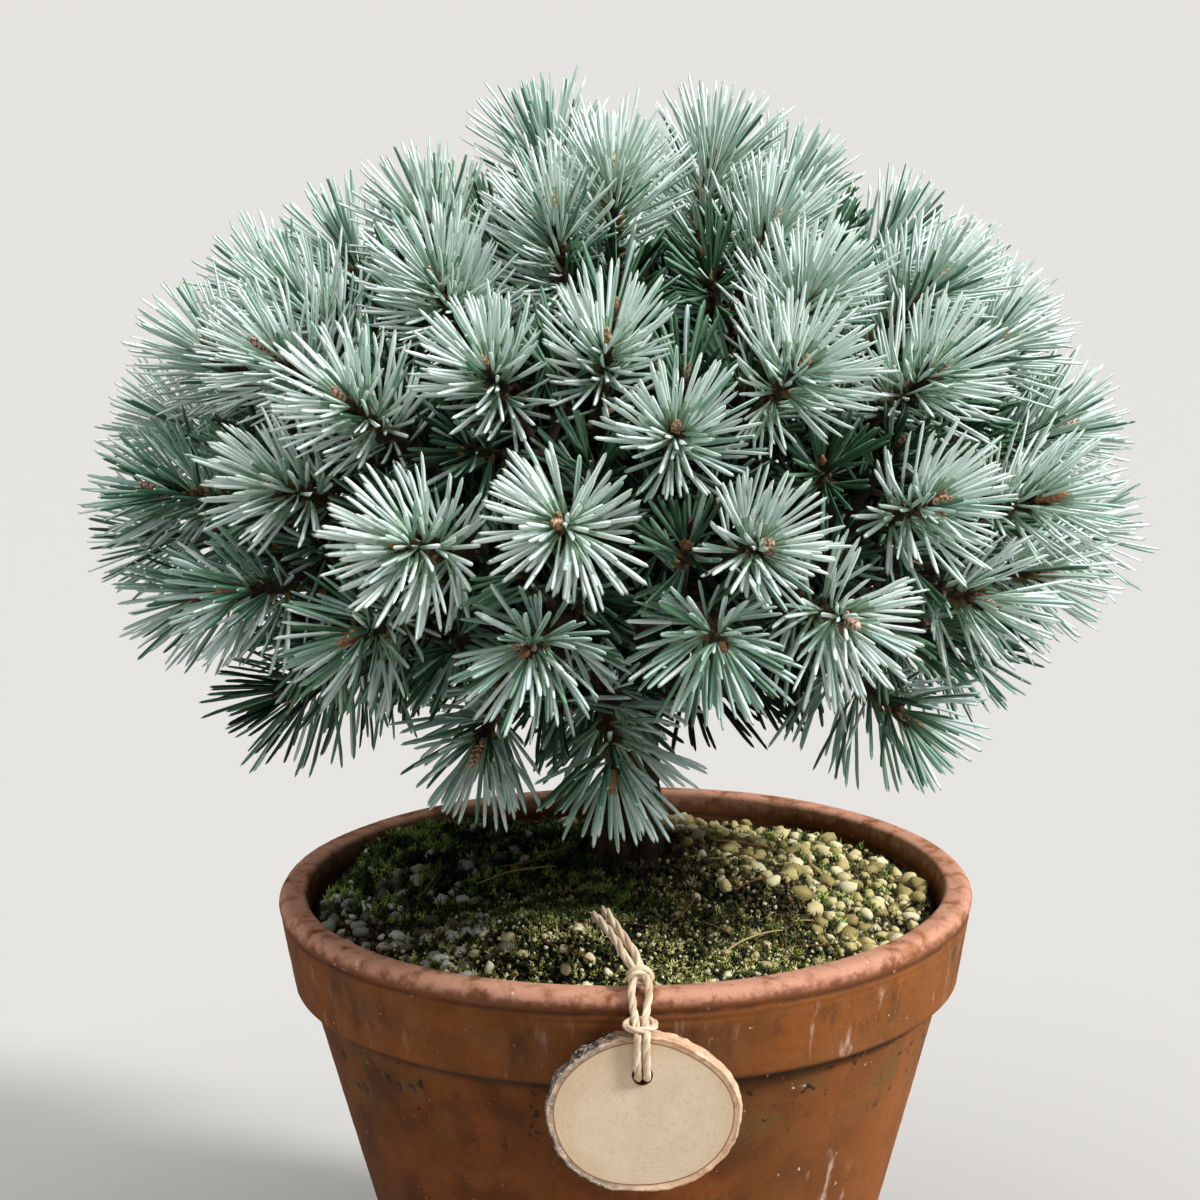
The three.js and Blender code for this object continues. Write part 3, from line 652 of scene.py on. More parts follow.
def trunkPoint(t):
    sway = trunkSizes["sway"]
    back = trunkSizes["footBack"] * (1 - t) ** 2
    return np.stack([sway * np.sin(2 * np.pi * t), back + sway * 0.6 * np.sin(3 * np.pi * t),
                     trunkSizes["start"] + (trunkSizes["top"] - trunkSizes["start"]) * t], -1)


def growShoots(whorl, index, random):
    jitter = lambda size: (next(random) * 2 - 1) * size
    share = 360 / whorl["masses"]
    shoots = []
    for ringAngle, zigzag, most, fewer, spread, offset, out in whorl["rings"]:
        count = most - fewer * (index % 2)
        for k in range(count):
            across = ((k + 0.5) / count - 0.5) * share * spread
            azimuth = whorl["phase"] + offset + index * share + across + jitter(growth["angleJitter"])
            angle = ringAngle + (zigzag if k % 2 == 0 else -zigzag) + jitter(growth["angleJitter"])
            scale = out * (1 + jitter(growth["shellJitter"]))
            shell = direction(azimuth, angle)
            halfHeight = crownShell["above"] if shell[2] > 0 else crownShell["below"]
            bud = shell * [crownShell["halfWidth"], crownShell["halfDepth"], halfHeight] * scale
            bud[2] += crownShell["level"]
            aimAzimuth = azimuth + jitter(growth["aimJitter"])
            lift = angle * growth["aimShare"] + growth["aimLift"] + jitter(growth["aimJitter"]) / 2
            aim = direction(aimAzimuth, lift)
            shoots.append({"bud": bud, "aim": aim, "turn": next(random) * 0.6,
                           "base": bud - aim * growth["cladLength"]})
    return shoots


def growMass(whorl, index, random):
    shoots = growShoots(whorl, index, random)
    middle = np.mean([shoot["base"] for shoot in shoots], axis=0)
    mass = {"shoots": shoots, "whorl": whorl, "index": index}
    if whorl["rise"] == 0:
        upward = unit(trunkPoint(1.0) - trunkPoint(0.999))
        root = trunkPoint(1.0) + upward * gap
        mass.update(stem=[trunkPoint(1.0) - upward, root + upward * 3], hub=root + upward * 3)
        return mass
    rise = whorl["rise"] + whorl["stagger"] * (index % 2 - 0.5)
    foot = trunkPoint(rise / (trunkSizes["top"] - trunkSizes["start"]))
    hub = foot + (middle - foot) * growth["hubShare"]
    bend = (foot + hub) / 2 - [0, 0, growth["boughSag"]]
    mass.update(stem=[foot, bend, hub], hub=hub)
    return mass


def growCrown():
    random = seededRandom(growth["seed"])
    masses = [growMass(whorl, index, random) for whorl in whorls for index in range(whorl["masses"])]
    for mass in masses:
        ending = unit(mass["stem"][-1] - mass["stem"][-2])
        for shoot in mass["shoots"]:
            root = mass["hub"] - ending * growth["twigRootDepth"]
            reach = np.linalg.norm(shoot["base"] - root)
            lead = root + (shoot["base"] - root) * growth["twigLead"]
            back = shoot["base"] - shoot["aim"] * reach * growth["twigLead"]
            shoot["twig"] = [root, lead, back, shoot["base"]]
    return masses


def massNode(kind, mass):
    # the name of a mass's own bough or foliage among the solids
    whorl = mass["whorl"]
    number = f"_{mass['index'] + 1}" if whorl["rise"] else ""
    return f"{kind}_{whorl['name']}{number}"


masses = growCrown()
print("crown has grown:", len(masses), "masses,", sum(len(m["shoots"]) for m in masses), "shoots")


# room in the crown: clad stems share it between them, and bare limbs are kept clear
def segmentDistances(points, starts, ends):
    along = ends - starts
    lengths = np.maximum((along ** 2).sum(-1), 1e-9)
    t = np.clip(((points[:, None] - starts) * along).sum(-1) / lengths, 0, 1)
    return np.linalg.norm(points[:, None] - starts - t[..., None] * along, axis=-1)


def limbStretches(path, radius, owner):
    return [(path[i], path[i + 1], radius, owner) for i in range(len(path) - 1)]


limbRoom = {"trunkRadius": 5.5, "twigRadius": 1.5, "trunkSteps": 11, "boughSteps": 6, "twigSteps": 4}
trunkPath = trunkPoint(np.linspace(0, 1, limbRoom["trunkSteps"]))
bareLimbs = limbStretches(trunkPath, limbRoom["trunkRadius"], None)
for mass in masses:
    stemPath = bezier(mass["stem"], np.linspace(0, 1, limbRoom["boughSteps"]))
    bareLimbs += limbStretches(stemPath, mass["whorl"]["boughRadius"], id(mass))
    for shoot in mass["shoots"]:
        twigPath = bezier(shoot["twig"], np.linspace(0, 1, limbRoom["twigSteps"]))
        bareLimbs += limbStretches(twigPath, limbRoom["twigRadius"], id(mass))
limbStarts = np.array([limb[0] for limb in bareLimbs])
limbEnds = np.array([limb[1] for limb in bareLimbs])
limbRadii = np.array([limb[2] for limb in bareLimbs])
limbOwners = [limb[3] for limb in bareLimbs]

# finer growth: side shoots fill in behind the main ones, within each mass's own space
sideSizes = {
    "seed": 71, "tries": 7, "most": 3, "leaves": (0.45, 0.95), "length": (19.0, 28.0),
    "outward": 0.75, "lift": 0.12, "clad": 15.0, "budSpace": 14.5, "foreignSpace": 8.0,
    "limbSpace": 5.0, "shellShare": 0.88, "bend": 0.4,
}


def shellShare(place):
    away = place - [0, 0, crownShell["level"]]
    halfHeight = crownShell["above"] if away[2] > 0 else crownShell["below"]
    return np.linalg.norm(away / [crownShell["halfWidth"], crownShell["halfDepth"], halfHeight])


def growSideShoots(sizes):
    random = np.random.default_rng(sizes["seed"])
    buds = [shoot["bud"] for mass in masses for shoot in mass["shoots"]]
    mainStarts = np.array([shoot["base"] for mass in masses for shoot in mass["shoots"]])
    mainEnds = np.array(buds)
    mainOwners = np.array([id(mass) for mass in masses for _ in mass["shoots"]])
    for mass in masses:
        mass["sides"] = []
        foreign = mainOwners != id(mass)
        for shoot in mass["shoots"]:
            grown = 0
            across, rise = shootFrame(shoot)
            first = random.random() * 2 * math.pi
            for k in range(sizes["tries"]):
                spin = first + k * goldenAngle
                radial = across * math.cos(spin) + rise * math.sin(spin)
                leave = bezier(shoot["twig"], [random.uniform(*sizes["leaves"])])[0]
                aim = unit(shoot["aim"] + radial * sizes["outward"] + [0, 0, sizes["lift"]])
                bud = leave + aim * random.uniform(*sizes["length"])
                if grown >= sizes["most"] or shellShare(bud) > sizes["shellShare"]:
                    continue
                if min(np.linalg.norm(np.array(buds) - bud, axis=1)) < sizes["budSpace"]:
                    continue
                there = bud[None]
                toShoots = segmentDistances(there, mainStarts[foreign], mainEnds[foreign])
                if toShoots.min() < sizes["foreignSpace"]:
                    continue
                others = np.array([owner != id(mass) for owner in limbOwners])
                toLimbs = segmentDistances(there, limbStarts[others], limbEnds[others])
                if toLimbs.min() < sizes["limbSpace"]:
                    continue
                base = bud - aim * sizes["clad"]
                bend = leave + shoot["aim"] * np.linalg.norm(base - leave) * sizes["bend"]
                mass["sides"].append({"bud": bud, "aim": aim, "base": base, "turn": random.random(),
                                      "twig": [leave, bend, base]})
                buds.append(bud)
                grown += 1


growSideShoots(sideSizes)
print("side shoots:", sum(len(mass["sides"]) for mass in masses))

# needles in bundles of five, set in a spiral round each shoot
needleSizes = {
    "seed": 905, "perBundle": 5, "bundleSpread": 11.0, "spreadJitter": 4.0,
    "width": 1.04, "widthJitter": 0.1, "lengthJitter": 0.07, "bend": (0.01, 0.13),
    "firstBack": 0.8, "crowding": 1.1,
    "backShares": (0.0, 0.08, 0.35, 0.65, 1.0),     # of the clad stretch, from the bud back
    "leans": (14.0, 31.0, 53.0, 72.0, 86.0),        # degrees from the stem at those shares
    "lengths": (13.0, 17.8, 20.0, 19.6, 18.0),
    "leanJitter": 4.0, "spinJitter": 0.12, "rollJitter": 0.35, "otherTone": 0.15,
    "stemRadius": 1.0, "rootDepth": 0.7,
    "bundles": {"low": 23, "mid": 32, "top": 37, "leader": 38, "side": 14, "old": 15, "inner": 11},
    "sideScale": 0.86, "oldScale": 0.9, "oldFrom": 0.25,
    "innerStretches": ((0.35, 0.6), (0.6, 0.8), (0.8, 1.0)),
}
roomSizes = {
    "steps": 13, "nearest": 0.2, "overlap": 2.2, "limbClearance": 0.5, "shortest": 0.62, "shortenBy": 0.07,
    "neighbourReach": 62, "limbReach": 50,
}


def needleRoom(owner, shoot, roots, along, lengths, sizes):
    # how far each needle can grow before it is nearer to another clad stem, or meets a limb
    steps = np.linspace(sizes["nearest"], 1.0, sizes["steps"])
    points = roots[:, None] + along[:, None] * (lengths[:, None] * steps)[..., None]
    flat = points.reshape(-1, 3)
    middle = (shoot["base"] + shoot["bud"]) / 2
    own = segmentDistances(flat, shoot["base"][None], shoot["bud"][None])[:, 0]
    others = [other for other in cladShoots
              if other is not shoot and np.linalg.norm(other["bud"] - middle) < sizes["neighbourReach"]]
    blocked = np.zeros(len(flat), bool)
    if others:
        starts = np.array([other["base"] for other in others])
        ends = np.array([other["bud"] for other in others])
        blocked |= segmentDistances(flat, starts, ends).min(1) < own - sizes["overlap"]
    limbMiddles = (limbStarts + limbEnds) / 2
    near = np.linalg.norm(limbMiddles - middle, axis=1) < sizes["limbReach"]
    near &= np.array([limbOwner != owner for limbOwner in limbOwners])
    if near.any():
        away = segmentDistances(flat, limbStarts[near], limbEnds[near])
        blocked |= (away < limbRadii[near] + sizes["limbClearance"]).any(1)
    blocked = blocked.reshape(len(roots), len(steps))
    lastStep = steps[blocked.argmax(1)] - sizes["shortenBy"]
    return np.where(blocked.any(1), lastStep, 1.0)


def needlesOn(owner, shoot, count, tone, random, sizes, scale=1.0, slimness=1.0):
    clad = np.linalg.norm(shoot["bud"] - shoot["base"])
    i = np.arange(count)
    back = sizes["firstBack"] + (clad - sizes["firstBack"]) * ((i + 0.5) / count) ** sizes["crowding"]
    share = back / clad
    leans = np.interp(share, sizes["backShares"], sizes["leans"])
    lean = np.radians(leans + random.normal(0, sizes["leanJitter"], count))
    length = np.interp(share, sizes["backShares"], sizes["lengths"]) * scale
    turn = shoot["turn"] * 2 * math.pi
    spin = i * goldenAngle + turn + random.normal(0, sizes["spinJitter"], count)
    aim = shoot["aim"]
    across, rise = shootFrame(shoot)
    radial = np.cos(spin)[:, None] * across + np.sin(spin)[:, None] * rise
    bundle = aim * np.cos(lean)[:, None] + radial * np.sin(lean)[:, None]
    inward = unit(aim - bundle * (bundle @ aim)[:, None])
    sideways = np.cross(bundle, inward)
    perBundle = sizes["perBundle"]
    around = anglesRound(perBundle) + random.random((count, 1)) * 2 * math.pi
    spread = sizes["bundleSpread"] + random.normal(0, sizes["spreadJitter"], (count, perBundle))
    along = unit(bundle[:, None] + np.tan(np.radians(spread))[..., None] * (
        np.cos(around)[..., None] * inward[:, None] + np.sin(around)[..., None] * sideways[:, None]))
    along = along.reshape(-1, 3)
    roots = shoot["bud"] - aim * back[:, None] + radial * sizes["stemRadius"] * sizes["rootDepth"]
    roots = np.repeat(roots, perBundle, 0)
    lengths = np.repeat(length, perBundle) * (1 + random.normal(0, sizes["lengthJitter"], len(along)))
    room = needleRoom(owner, shoot, roots, along, lengths, roomSizes)
    kept = room >= roomSizes["shortest"]
    total = kept.sum()
    sheathed = kept.reshape(count, perBundle).sum(1) > 1
    sheaths.append((roots[::perBundle][sheathed], bundle[sheathed]))
    values = {
        "roots": roots[kept], "along": along[kept], "lengths": (lengths * room)[kept],
        "aims": np.tile(aim, (total, 1)),
        "widths": slimness * (1 + random.normal(0, sizes["widthJitter"], total)),
        "bends": random.uniform(*sizes["bend"], total),
        "rolls": random.normal(0, sizes["rollJitter"], total),
    }
    darker = random.random(total) < sizes["otherTone"]
    paler = random.random(total) < sizes["otherTone"]
    values["tones"] = np.clip(tone + darker.astype(int) - paler, 0, 3)
    return values


# one needle, a millimetre wide and long: three-sided, its inner edge to the bud, with a blunt tip
needleKindSizes = {
    "shares": (0.0, 0.14, 0.40, 0.82, 0.96), "thickness": (0.38, 0.64, 0.92, 1.0, 0.70),
    "corners": ((0.44, 0.0), (-0.22, -0.5), (-0.22, 0.5)),
    # one inner face takes the pale colour and the other its painted shaded copy
    "faceSlots": (0, 2, 1),     # the two inner faces and the outer one between them
    "foot": 12, "lower": 13, "tip": 14,
}


def needleKind(tone, sizes):
    # tone 0 is silver, 1 blue, 2 green and 3 old, the old ones darkened in part as painted shade;
    # feet are greener, tips pale on the bright ones
    shares, corners = np.array(sizes["shares"]), np.array(sizes["corners"])
    rings = np.array([[(x * thick, y * thick, share) for x, y in corners]
                      for share, thick in zip(shares, sizes["thickness"])])
    last = len(shares) - 1
    places = np.concatenate([rings.reshape(-1, 3), [[0.0, 0.0, 1.0]]])
    triangles, faces, bands = [(0, 2, 1)], [0], [0]
    for ring in range(last):
        for side in range(3):
            a, b = 3 * ring + side, 3 * ring + (side + 1) % 3
            triangles += [(a, b, b + 3), (a, b + 3, a + 3)]
            faces += [side, side]
            bands += [ring, ring]
    for side in range(3):
        triangles.append((3 * last + side, 3 * last + (side + 1) % 3, len(places) - 1))
        faces.append(side)
        bands.append(last)
    faces, bands = np.array(faces), np.array(bands)
    slots = 3 * tone + np.array(sizes["faceSlots"])[faces]
    if tone < 3:
        slots[bands == 0] = sizes["foot"]
    if tone < 2:
        slots[(bands == 1) & (faces != 1)] = sizes["lower"]
        slots[bands == last] = sizes["tip"]
    return (places, np.array(triangles), slots), {"share": np.append(np.repeat(shares, 3), 1.0)}


def needleValues(needles):
    # what each needle's point carries: its directions, sizes, bow and tone
    along = needles["along"]
    inward = unit(needles["aims"] - along * (along * needles["aims"]).sum(1)[:, None])
    sideways = np.cross(along, inward)
    rolls = needles["rolls"][:, None]
    return {
        "along": along, "ridge": inward * np.cos(rolls) + sideways * np.sin(rolls),
        "width": needles["widths"], "length": needles["lengths"], "kind": needles["tones"],
        "bow": inward * (needles["bends"] * needles["lengths"] * mm)[:, None],
    }


def needleMaterials():
    # pine needles: waxy, two inner faces under a pale blue bloom and a green outer face, one inner
    # face a painted shaded copy of the other; young silver ones, blue ones, plain ones and old dark
    # ones, darkened in part as painted shade, with greener feet and blunt pale tips
    colours = {
        "silverNeedle": "#dae7e0", "silverNeedleShaded": "#d0dfd8", "silverNeedleBack": "#b2c9bc",
        "blueNeedle": "#bfd3cd", "blueNeedleShaded": "#83a594", "blueNeedleBack": "#48705a",
        # old needles: darker green, deepened to near black as painted shade in the crown's heart
        "greenNeedle": "#6a8e74", "greenNeedleShaded": "#385a3f", "greenNeedleBack": "#1d3a22",
        "oldNeedle": "#29422b", "oldNeedleShaded": "#152916", "oldNeedleBack": "#081207",
        "needleFoot": "#64864f", "needleLower": "#9ab69d", "needleTip": "#aebcab",
    }
    return plainLooks(colours, {"Roughness": 0.52, "IOR": 1.45, "Specular IOR Level": 0.3})


# the sprays that stand high are palest, partly young bloom and partly painted light, and those on the
# right are painted paler still as painted light; the low ones behind take the darker green as painted shade
sprayRules = {
    "silverHeight": 200, "silverPaintedLightRight": 0.5, "silverChance": 0.05,
    "greenHeight": 175, "greenFront": -45, "greenChance": 0.55,
    # broad needles low in front, slim ones high up, at the sides and behind
    "level": 150, "broadLow": 0.6, "broadLeft": 0.3, "frontReach": (-20, 60), "widths": (0.74, 0.97),
}


def sprayTone(bud, chance, rules):
    # painted light: sprays further right count as higher, so they turn silver
    right = max(bud[0], 0) * rules["silverPaintedLightRight"]
    if bud[2] + right > rules["silverHeight"] or chance < rules["silverChance"]:
        return 0
    low = bud[2] < rules["greenHeight"] and bud[1] > rules["greenFront"]
    return 2 if low and chance > rules["greenChance"] else 1


def sprayWidth(bud, rules):
    low = rules["broadLow"] * (bud[2] - rules["level"])
    front = -bud[1] - low - rules["broadLeft"] * max(bud[0], 0)
    return np.interp(front, rules["frontReach"], rules["widths"])


def oldStretch(curve, first, last, turn):
    # a stretch of older wood, told as a shoot is
    foot, end = bezier(curve, [first, last])
    return {"base": foot, "bud": end, "aim": unit(end - foot), "turn": turn}


sheaths = []
cladShoots = [shoot for mass in masses for shoot in mass["shoots"] + mass["sides"]]


def growNeedles(sizes):
    random = np.random.default_rng(sizes["seed"])
    bundles = sizes["bundles"]
    groups = {name: [] for name in ("low", "mid", "top", "side", "old")}
    nodes = {name: [] for name in groups}
    for mass in masses:
        owner, whorlName = id(mass), mass["whorl"]["name"]
        name = "top" if whorlName == "leader" else whorlName
        nodes[name].append(massNode("foliage", mass))
        for shoot in mass["shoots"]:
            tone = sprayTone(shoot["bud"], random.random(), sprayRules)
            width = sprayWidth(shoot["bud"], sprayRules)
            count = round(bundles[whorlName] / width)
            groups[name].append(needlesOn(owner, shoot, count, tone, random, sizes, slimness=width))
            # older needles, darker and fewer, behind the clad stretch; their near-black colours are partly
            # painted shade
            old = oldStretch(shoot["twig"], sizes["oldFrom"], 1.0, 0.5)
            groups["old"].append(
                needlesOn(owner, old, bundles["old"], 3, random, sizes, sizes["oldScale"]))
        # and a few left on the inner bough, painted near black as painted shade, so the heart of the crown is
        # dark
        for first, last in sizes["innerStretches"] if mass["whorl"]["rise"] else ():
            inner = oldStretch(mass["stem"], first, last, first)
            groups["old"].append(needlesOn(owner, inner, bundles["inner"], 3, random, sizes))
        # side shoots take the darker green tone, partly as painted shade in the gaps behind the main sprays
        for shoot in mass["sides"]:
            groups["side"].append(
                needlesOn(owner, shoot, bundles["side"], 2, random, sizes, sizes["sideScale"]))
    kinds = [needleKind(tone, needleKindSizes) for tone in range(4)]
    tree = growthTree("needlesOnShoots", needleMaterials())
    for name, group in groups.items():
        needles = {key: np.concatenate([shoot[key] for shoot in group]) for key in group[0]}
        values = needleValues(needles)
        piece = growPiece(f"needles_{name}", tree, kinds, needles["roots"], values, sizes["width"])
        settle(piece, "needles", *nodes[name])


growNeedles(needleSizes)
print("needles are grown")


# bark: one skin for the trunk and every bough, with plates that lift at their edges
barkSizes = {
    "trunkRings": 190, "trunkSides": 60, "trunkPlate": 4.6, "trunkRelief": 0.85,
    "boughRings": 70, "boughSides": 18, "boughPlate": 2.7, "boughRelief": 0.42,
    "plateStretch": 0.42, "boughTaper": 0.87, "hubTaper": 0.72,
    "crack": 2.6, "plateRound": 0.6, "plateLevel": 0.75, "flake": 0.35, "flakeRelief": 0.22,
    "rootLobes": ((3, 0.28, 0.8), (5, 0.18, 0.0)),     # how many, how deep, and their turn
    "collarSwell": 0.5, "collarFade": 4, "wave": 0.5, "waveTurn": 9,
}


def plates(places, size, stretch, seed):
    # 1 in the middle of a plate of bark, 0 in the cracks between plates
    spread = places * np.array([1, 1, stretch]) / size + seed * 13.7
    heights = []
    for point in spread.tolist():
        nearest = noise.voronoi(Vector(point))[0]
        heights.append(nearest[1] - nearest[0])
    return np.clip(np.array(heights) * barkSizes["crack"], 0, 1) ** barkSizes["plateRound"]


def barkedLimb(path, radii, sides, plate, relief, seed):
    sizes = barkSizes
    places, triangles, slots = sweep(path, radii, sides)
    ring = len(path) * sides
    lifted = np.zeros(len(places))
    lifted[:ring] = plates(places[:ring], plate, sizes["plateStretch"], seed)
    flake = roughness3(places[:ring], plate * sizes["flake"], seed + 2)
    outward = unit(places[:ring] - np.repeat(path, sides, 0))
    rise = (lifted[:ring] - sizes["plateLevel"]) * relief + flake * relief * sizes["flakeRelief"]
    places[:ring] += outward * rise[:, None]
    return places, triangles, slots, lifted


def barkMaterial():
    # pine bark: dry corky plates, grey-brown where weathered and red-brown beneath, dark cracks,
    # and the trunk's foot painted near black as painted shade under the crown
    material, tree, shader = newMaterial("pineBark", {"Roughness": 0.88, "IOR": 1.4})
    place = addNode(tree, "ShaderNodeTexCoord").outputs["Object"]
    lifted = addNode(tree, "ShaderNodeAttribute", {"attribute_name": "lifted"}).outputs["Fac"]
    crack = addNode(tree, "ShaderNodeMapRange", inputs={
        "Value": lifted, "From Min": 0.25, "From Max": 0.75, "To Min": 1.0, "To Max": 0.0})
    height = addNode(tree, "ShaderNodeSeparateXYZ", inputs={"Vector": place}).outputs["Z"]
    # painted shade: the trunk is painted darker up to 135 mm, where the crown shades it
    paintedFootShade = bandMask(tree, height, 0.0, 0.135, 0.02)
    paintLayers(tree, shader, "#5d4432", [
        ("#8a6743", 0.7, patchMask(tree, place, 7, 0.42, 0.62, detail=5)),
        ("#6d625a", 0.6, patchMask(tree, place, 4, 0.50, 0.64, detail=5)),
        ("#8c9078", 0.4, patchMask(tree, place, 3, 0.62, 0.70, detail=4)),
        ("#4a3425", 0.5, patchMask(tree, place, 1.1, 0.45, 0.65, detail=3)),
        ("#22170f", 0.9, crack),
        ("#1b120c", 0.65, paintedFootShade),
    ])
    return material


def makeBark(sizes):
    t = np.linspace(0, 1, sizes["trunkRings"])
    path = trunkPoint(t)
    angles = anglesRound(sizes["trunkSides"])
    height = path[:, 2:] - trunkSizes["start"]
    plain = trunkSizes["foot"] + (trunkSizes["tip"] - trunkSizes["foot"]) * t[:, None]
    lobes = 1
    for count, depth, turn in sizes["rootLobes"]:
        lobes = lobes + depth * np.cos(count * angles + turn)
    radii = plain + trunkSizes["flare"] * np.exp(-height / trunkSizes["flareHeight"]) * lobes
    limbs = [barkedLimb(path, radii, sizes["trunkSides"], sizes["trunkPlate"], sizes["trunkRelief"], 1)]
    steps = np.linspace(0, 1, sizes["boughRings"])
    for k, mass in enumerate(masses):
        if mass["whorl"]["rise"] == 0:
            continue
        thickness = mass["whorl"]["boughRadius"]
        taper = np.interp(steps, [0, 0.6, 1], [1, sizes["boughTaper"], sizes["hubTaper"]])
        away = steps * np.linalg.norm(mass["hub"] - mass["stem"][0])
        collar = 1 + sizes["collarSwell"] * np.exp(-away / sizes["collarFade"])
        path = bezier(mass["stem"], steps)
        path[:, 2] += sizes["wave"] * np.sin(steps * sizes["waveTurn"] + k) * steps
        limbs.append(barkedLimb(path, thickness * taper * collar, sizes["boughSides"],
                                sizes["boughPlate"], sizes["boughRelief"], k + 3))
    part = joinParts([limb[:3] for limb in limbs])
    lifted = np.concatenate([limb[3] for limb in limbs])
    bark = makePiece("bark", part, [barkMaterial()], values={"lifted": lifted})
    boughs = [massNode("bough", mass) for mass in masses if mass["whorl"]["rise"]]
    return settle(bark, "bark", "trunk", *boughs)


makeBark(barkSizes)

# twigs: young shoots with leaf cushions in a spiral, and the brown sheath of every bundle
twigSizes = {
    "sides": 10, "shoots": (1.65, 1.05, 40), "sideShoots": (1.1, 0.85, 20),     # root, tip, rings
    "cushion": 0.17, "cushionPitch": 1.9, "sheathLength": 2.1, "sheathRoot": 0.85, "sheathTip": 0.68,
    "sheathSides": 5, "sheathSink": 0.3,
}


def cushions(path, sides, pitch):
    lengths = lengthsAlong(path)[:, None]
    angles = anglesRound(sides)
    left = np.cos(3 * angles + 2 * np.pi * lengths / pitch)
    right = np.cos(2 * angles - 2 * np.pi * lengths / (pitch * 1.5))
    return left * right


def twig(shoot, root, tip, rings, sizes):
    clad = smoothPath([*bezier(shoot["twig"], np.linspace(0, 1, 5)), shoot["bud"]], rings)
    swell = sizes["cushion"] * cushions(clad, sizes["sides"], sizes["cushionPitch"])
    return sweep(clad, np.linspace(root, tip, rings)[:, None] + swell, sizes["sides"])


def makeTwigs(sizes):
    # first year wood: matt brown with a little grey
    parts = [twig(shoot, *sizes[kind], sizes) for mass in masses
             for kind, shoots in (("shoots", mass["shoots"]), ("sideShoots", mass["sides"]))
             for shoot in shoots]
    matt = {"Roughness": 0.8, "IOR": 1.4}
    settle(makePiece("twigs", joinParts(parts), plainLooks({"youngWood": "#32241a"}, matt)), "bark")
    # papery sheaths in three browns
    looks = plainLooks({"sheathDark": "#2a1f16", "sheathBrown": "#433123", "sheathPale": "#6d5638"}, matt)
    roots = np.concatenate([sheath[0] for sheath in sheaths])
    along = np.concatenate([sheath[1] for sheath in sheaths])
    upright = np.where(np.abs(along[:, 2:]) < 0.85, [[0.0, 0.0, 1.0]], [[1.0, 0.0, 0.0]])
    axis = np.array([[0.0, 0.0, -sizes["sheathSink"]], [0.0, 0.0, sizes["sheathLength"]]])
    kinds = [(sweep(axis, [sizes["sheathRoot"], sizes["sheathTip"]], sizes["sheathSides"], k), {})
             for k in range(len(looks))]
    ones = np.ones(len(roots))
    settle(growPiece("sheaths", growthTree("sheathsOnShoots", looks), kinds, roots, {
        "along": along, "ridge": unit(np.cross(along, upright)), "width": ones, "length": ones,
        "kind": np.arange(len(roots)) % len(looks)}), "bark")


makeTwigs(twigSizes)

# buds: pointed, wrapped in scales, one to three at the end of each shoot
budSizes = {
    "seed": 33, "sides": 9, "rings": 13, "length": (4.6, 7.0), "radius": (0.95, 1.4), "sideShare": 0.7,
    "scale": 0.24, "scalePitch": 1.35, "sink": 1.2, "lean": 0.55, "secondShare": 0.72,
    "shares": (0, 0.12, 0.35, 0.6, 0.8, 0.93, 1), "widths": (0.62, 0.9, 1, 0.9, 0.66, 0.4, 0.14),
    "flatten": 0.6, "rims": ((3, 0.72), (-2, 0.76)),    # turns of the rims, and where each starts
}


def bud(base, aim, length, radius, slot, sizes):
    share = np.linspace(0, 1, sizes["rings"])
    path = base + aim * (share * length)[:, None]
    shape = np.interp(share, sizes["shares"], sizes["widths"])[:, None]
    scales = cushions(path, sizes["sides"], sizes["scalePitch"]) * sizes["scale"]
    scales = scales * (1 - share[:, None] * sizes["flatten"])
    places, triangles, slots = sweep(path, radius * shape + scales, sizes["sides"], slot)
    # the rims of the scales wind up the bud both ways
    across, rise = frames(path)
    middles = places[triangles].mean(1) - base
    upward = middles @ aim / sizes["scalePitch"]
    around = np.arctan2(middles @ rise[0], middles @ across[0]) / (2 * math.pi)
    for turns, start in sizes["rims"]:
        slots = np.where((upward + turns * around) % 1 > start, 3, slots)
    return places, triangles, slots


def makeBuds(sizes):
    random = np.random.default_rng(sizes["seed"])
    parts = []
    for mass in masses:
        shoots = [(shoot, 1.0) for shoot in mass["shoots"]]
        shoots += [(shoot, sizes["sideShare"]) for shoot in mass["sides"]]
        for shoot, share in shoots:
            across, rise = shootFrame(shoot)
            count = random.integers(1, 4) if share == 1.0 else 1
            first = random.random() * 2 * math.pi
            for k in range(count):
                spin = first + k * 2 * math.pi / 3
                away = across * math.cos(spin) + rise * math.sin(spin)
                lean = sizes["lean"] if k else 0.0
                size = share * sizes["secondShare"] if k else share
                aim = unit(shoot["aim"] + away * lean)
                base = shoot["bud"] - shoot["aim"] * sizes["sink"] * (2 if k else 1) + away * lean
                length = random.uniform(*sizes["length"]) * size
                radius = random.uniform(*sizes["radius"]) * size
                parts.append(bud(base, aim, length, radius, random.integers(0, 3), sizes))
    # winter buds: dry papery scales, tan to red-brown, a little resin on them
    looks = plainLooks({
        "budTan": "#cba888", "budRusty": "#9c7052", "budPink": "#d0b09e", "budScaleRim": "#7a4f35"},
        {"Roughness": 0.5, "IOR": 1.45})
    return settle(makePiece("buds", joinParts(parts), looks), "needles")


makeBuds(budSizes)
print("plant is grown")


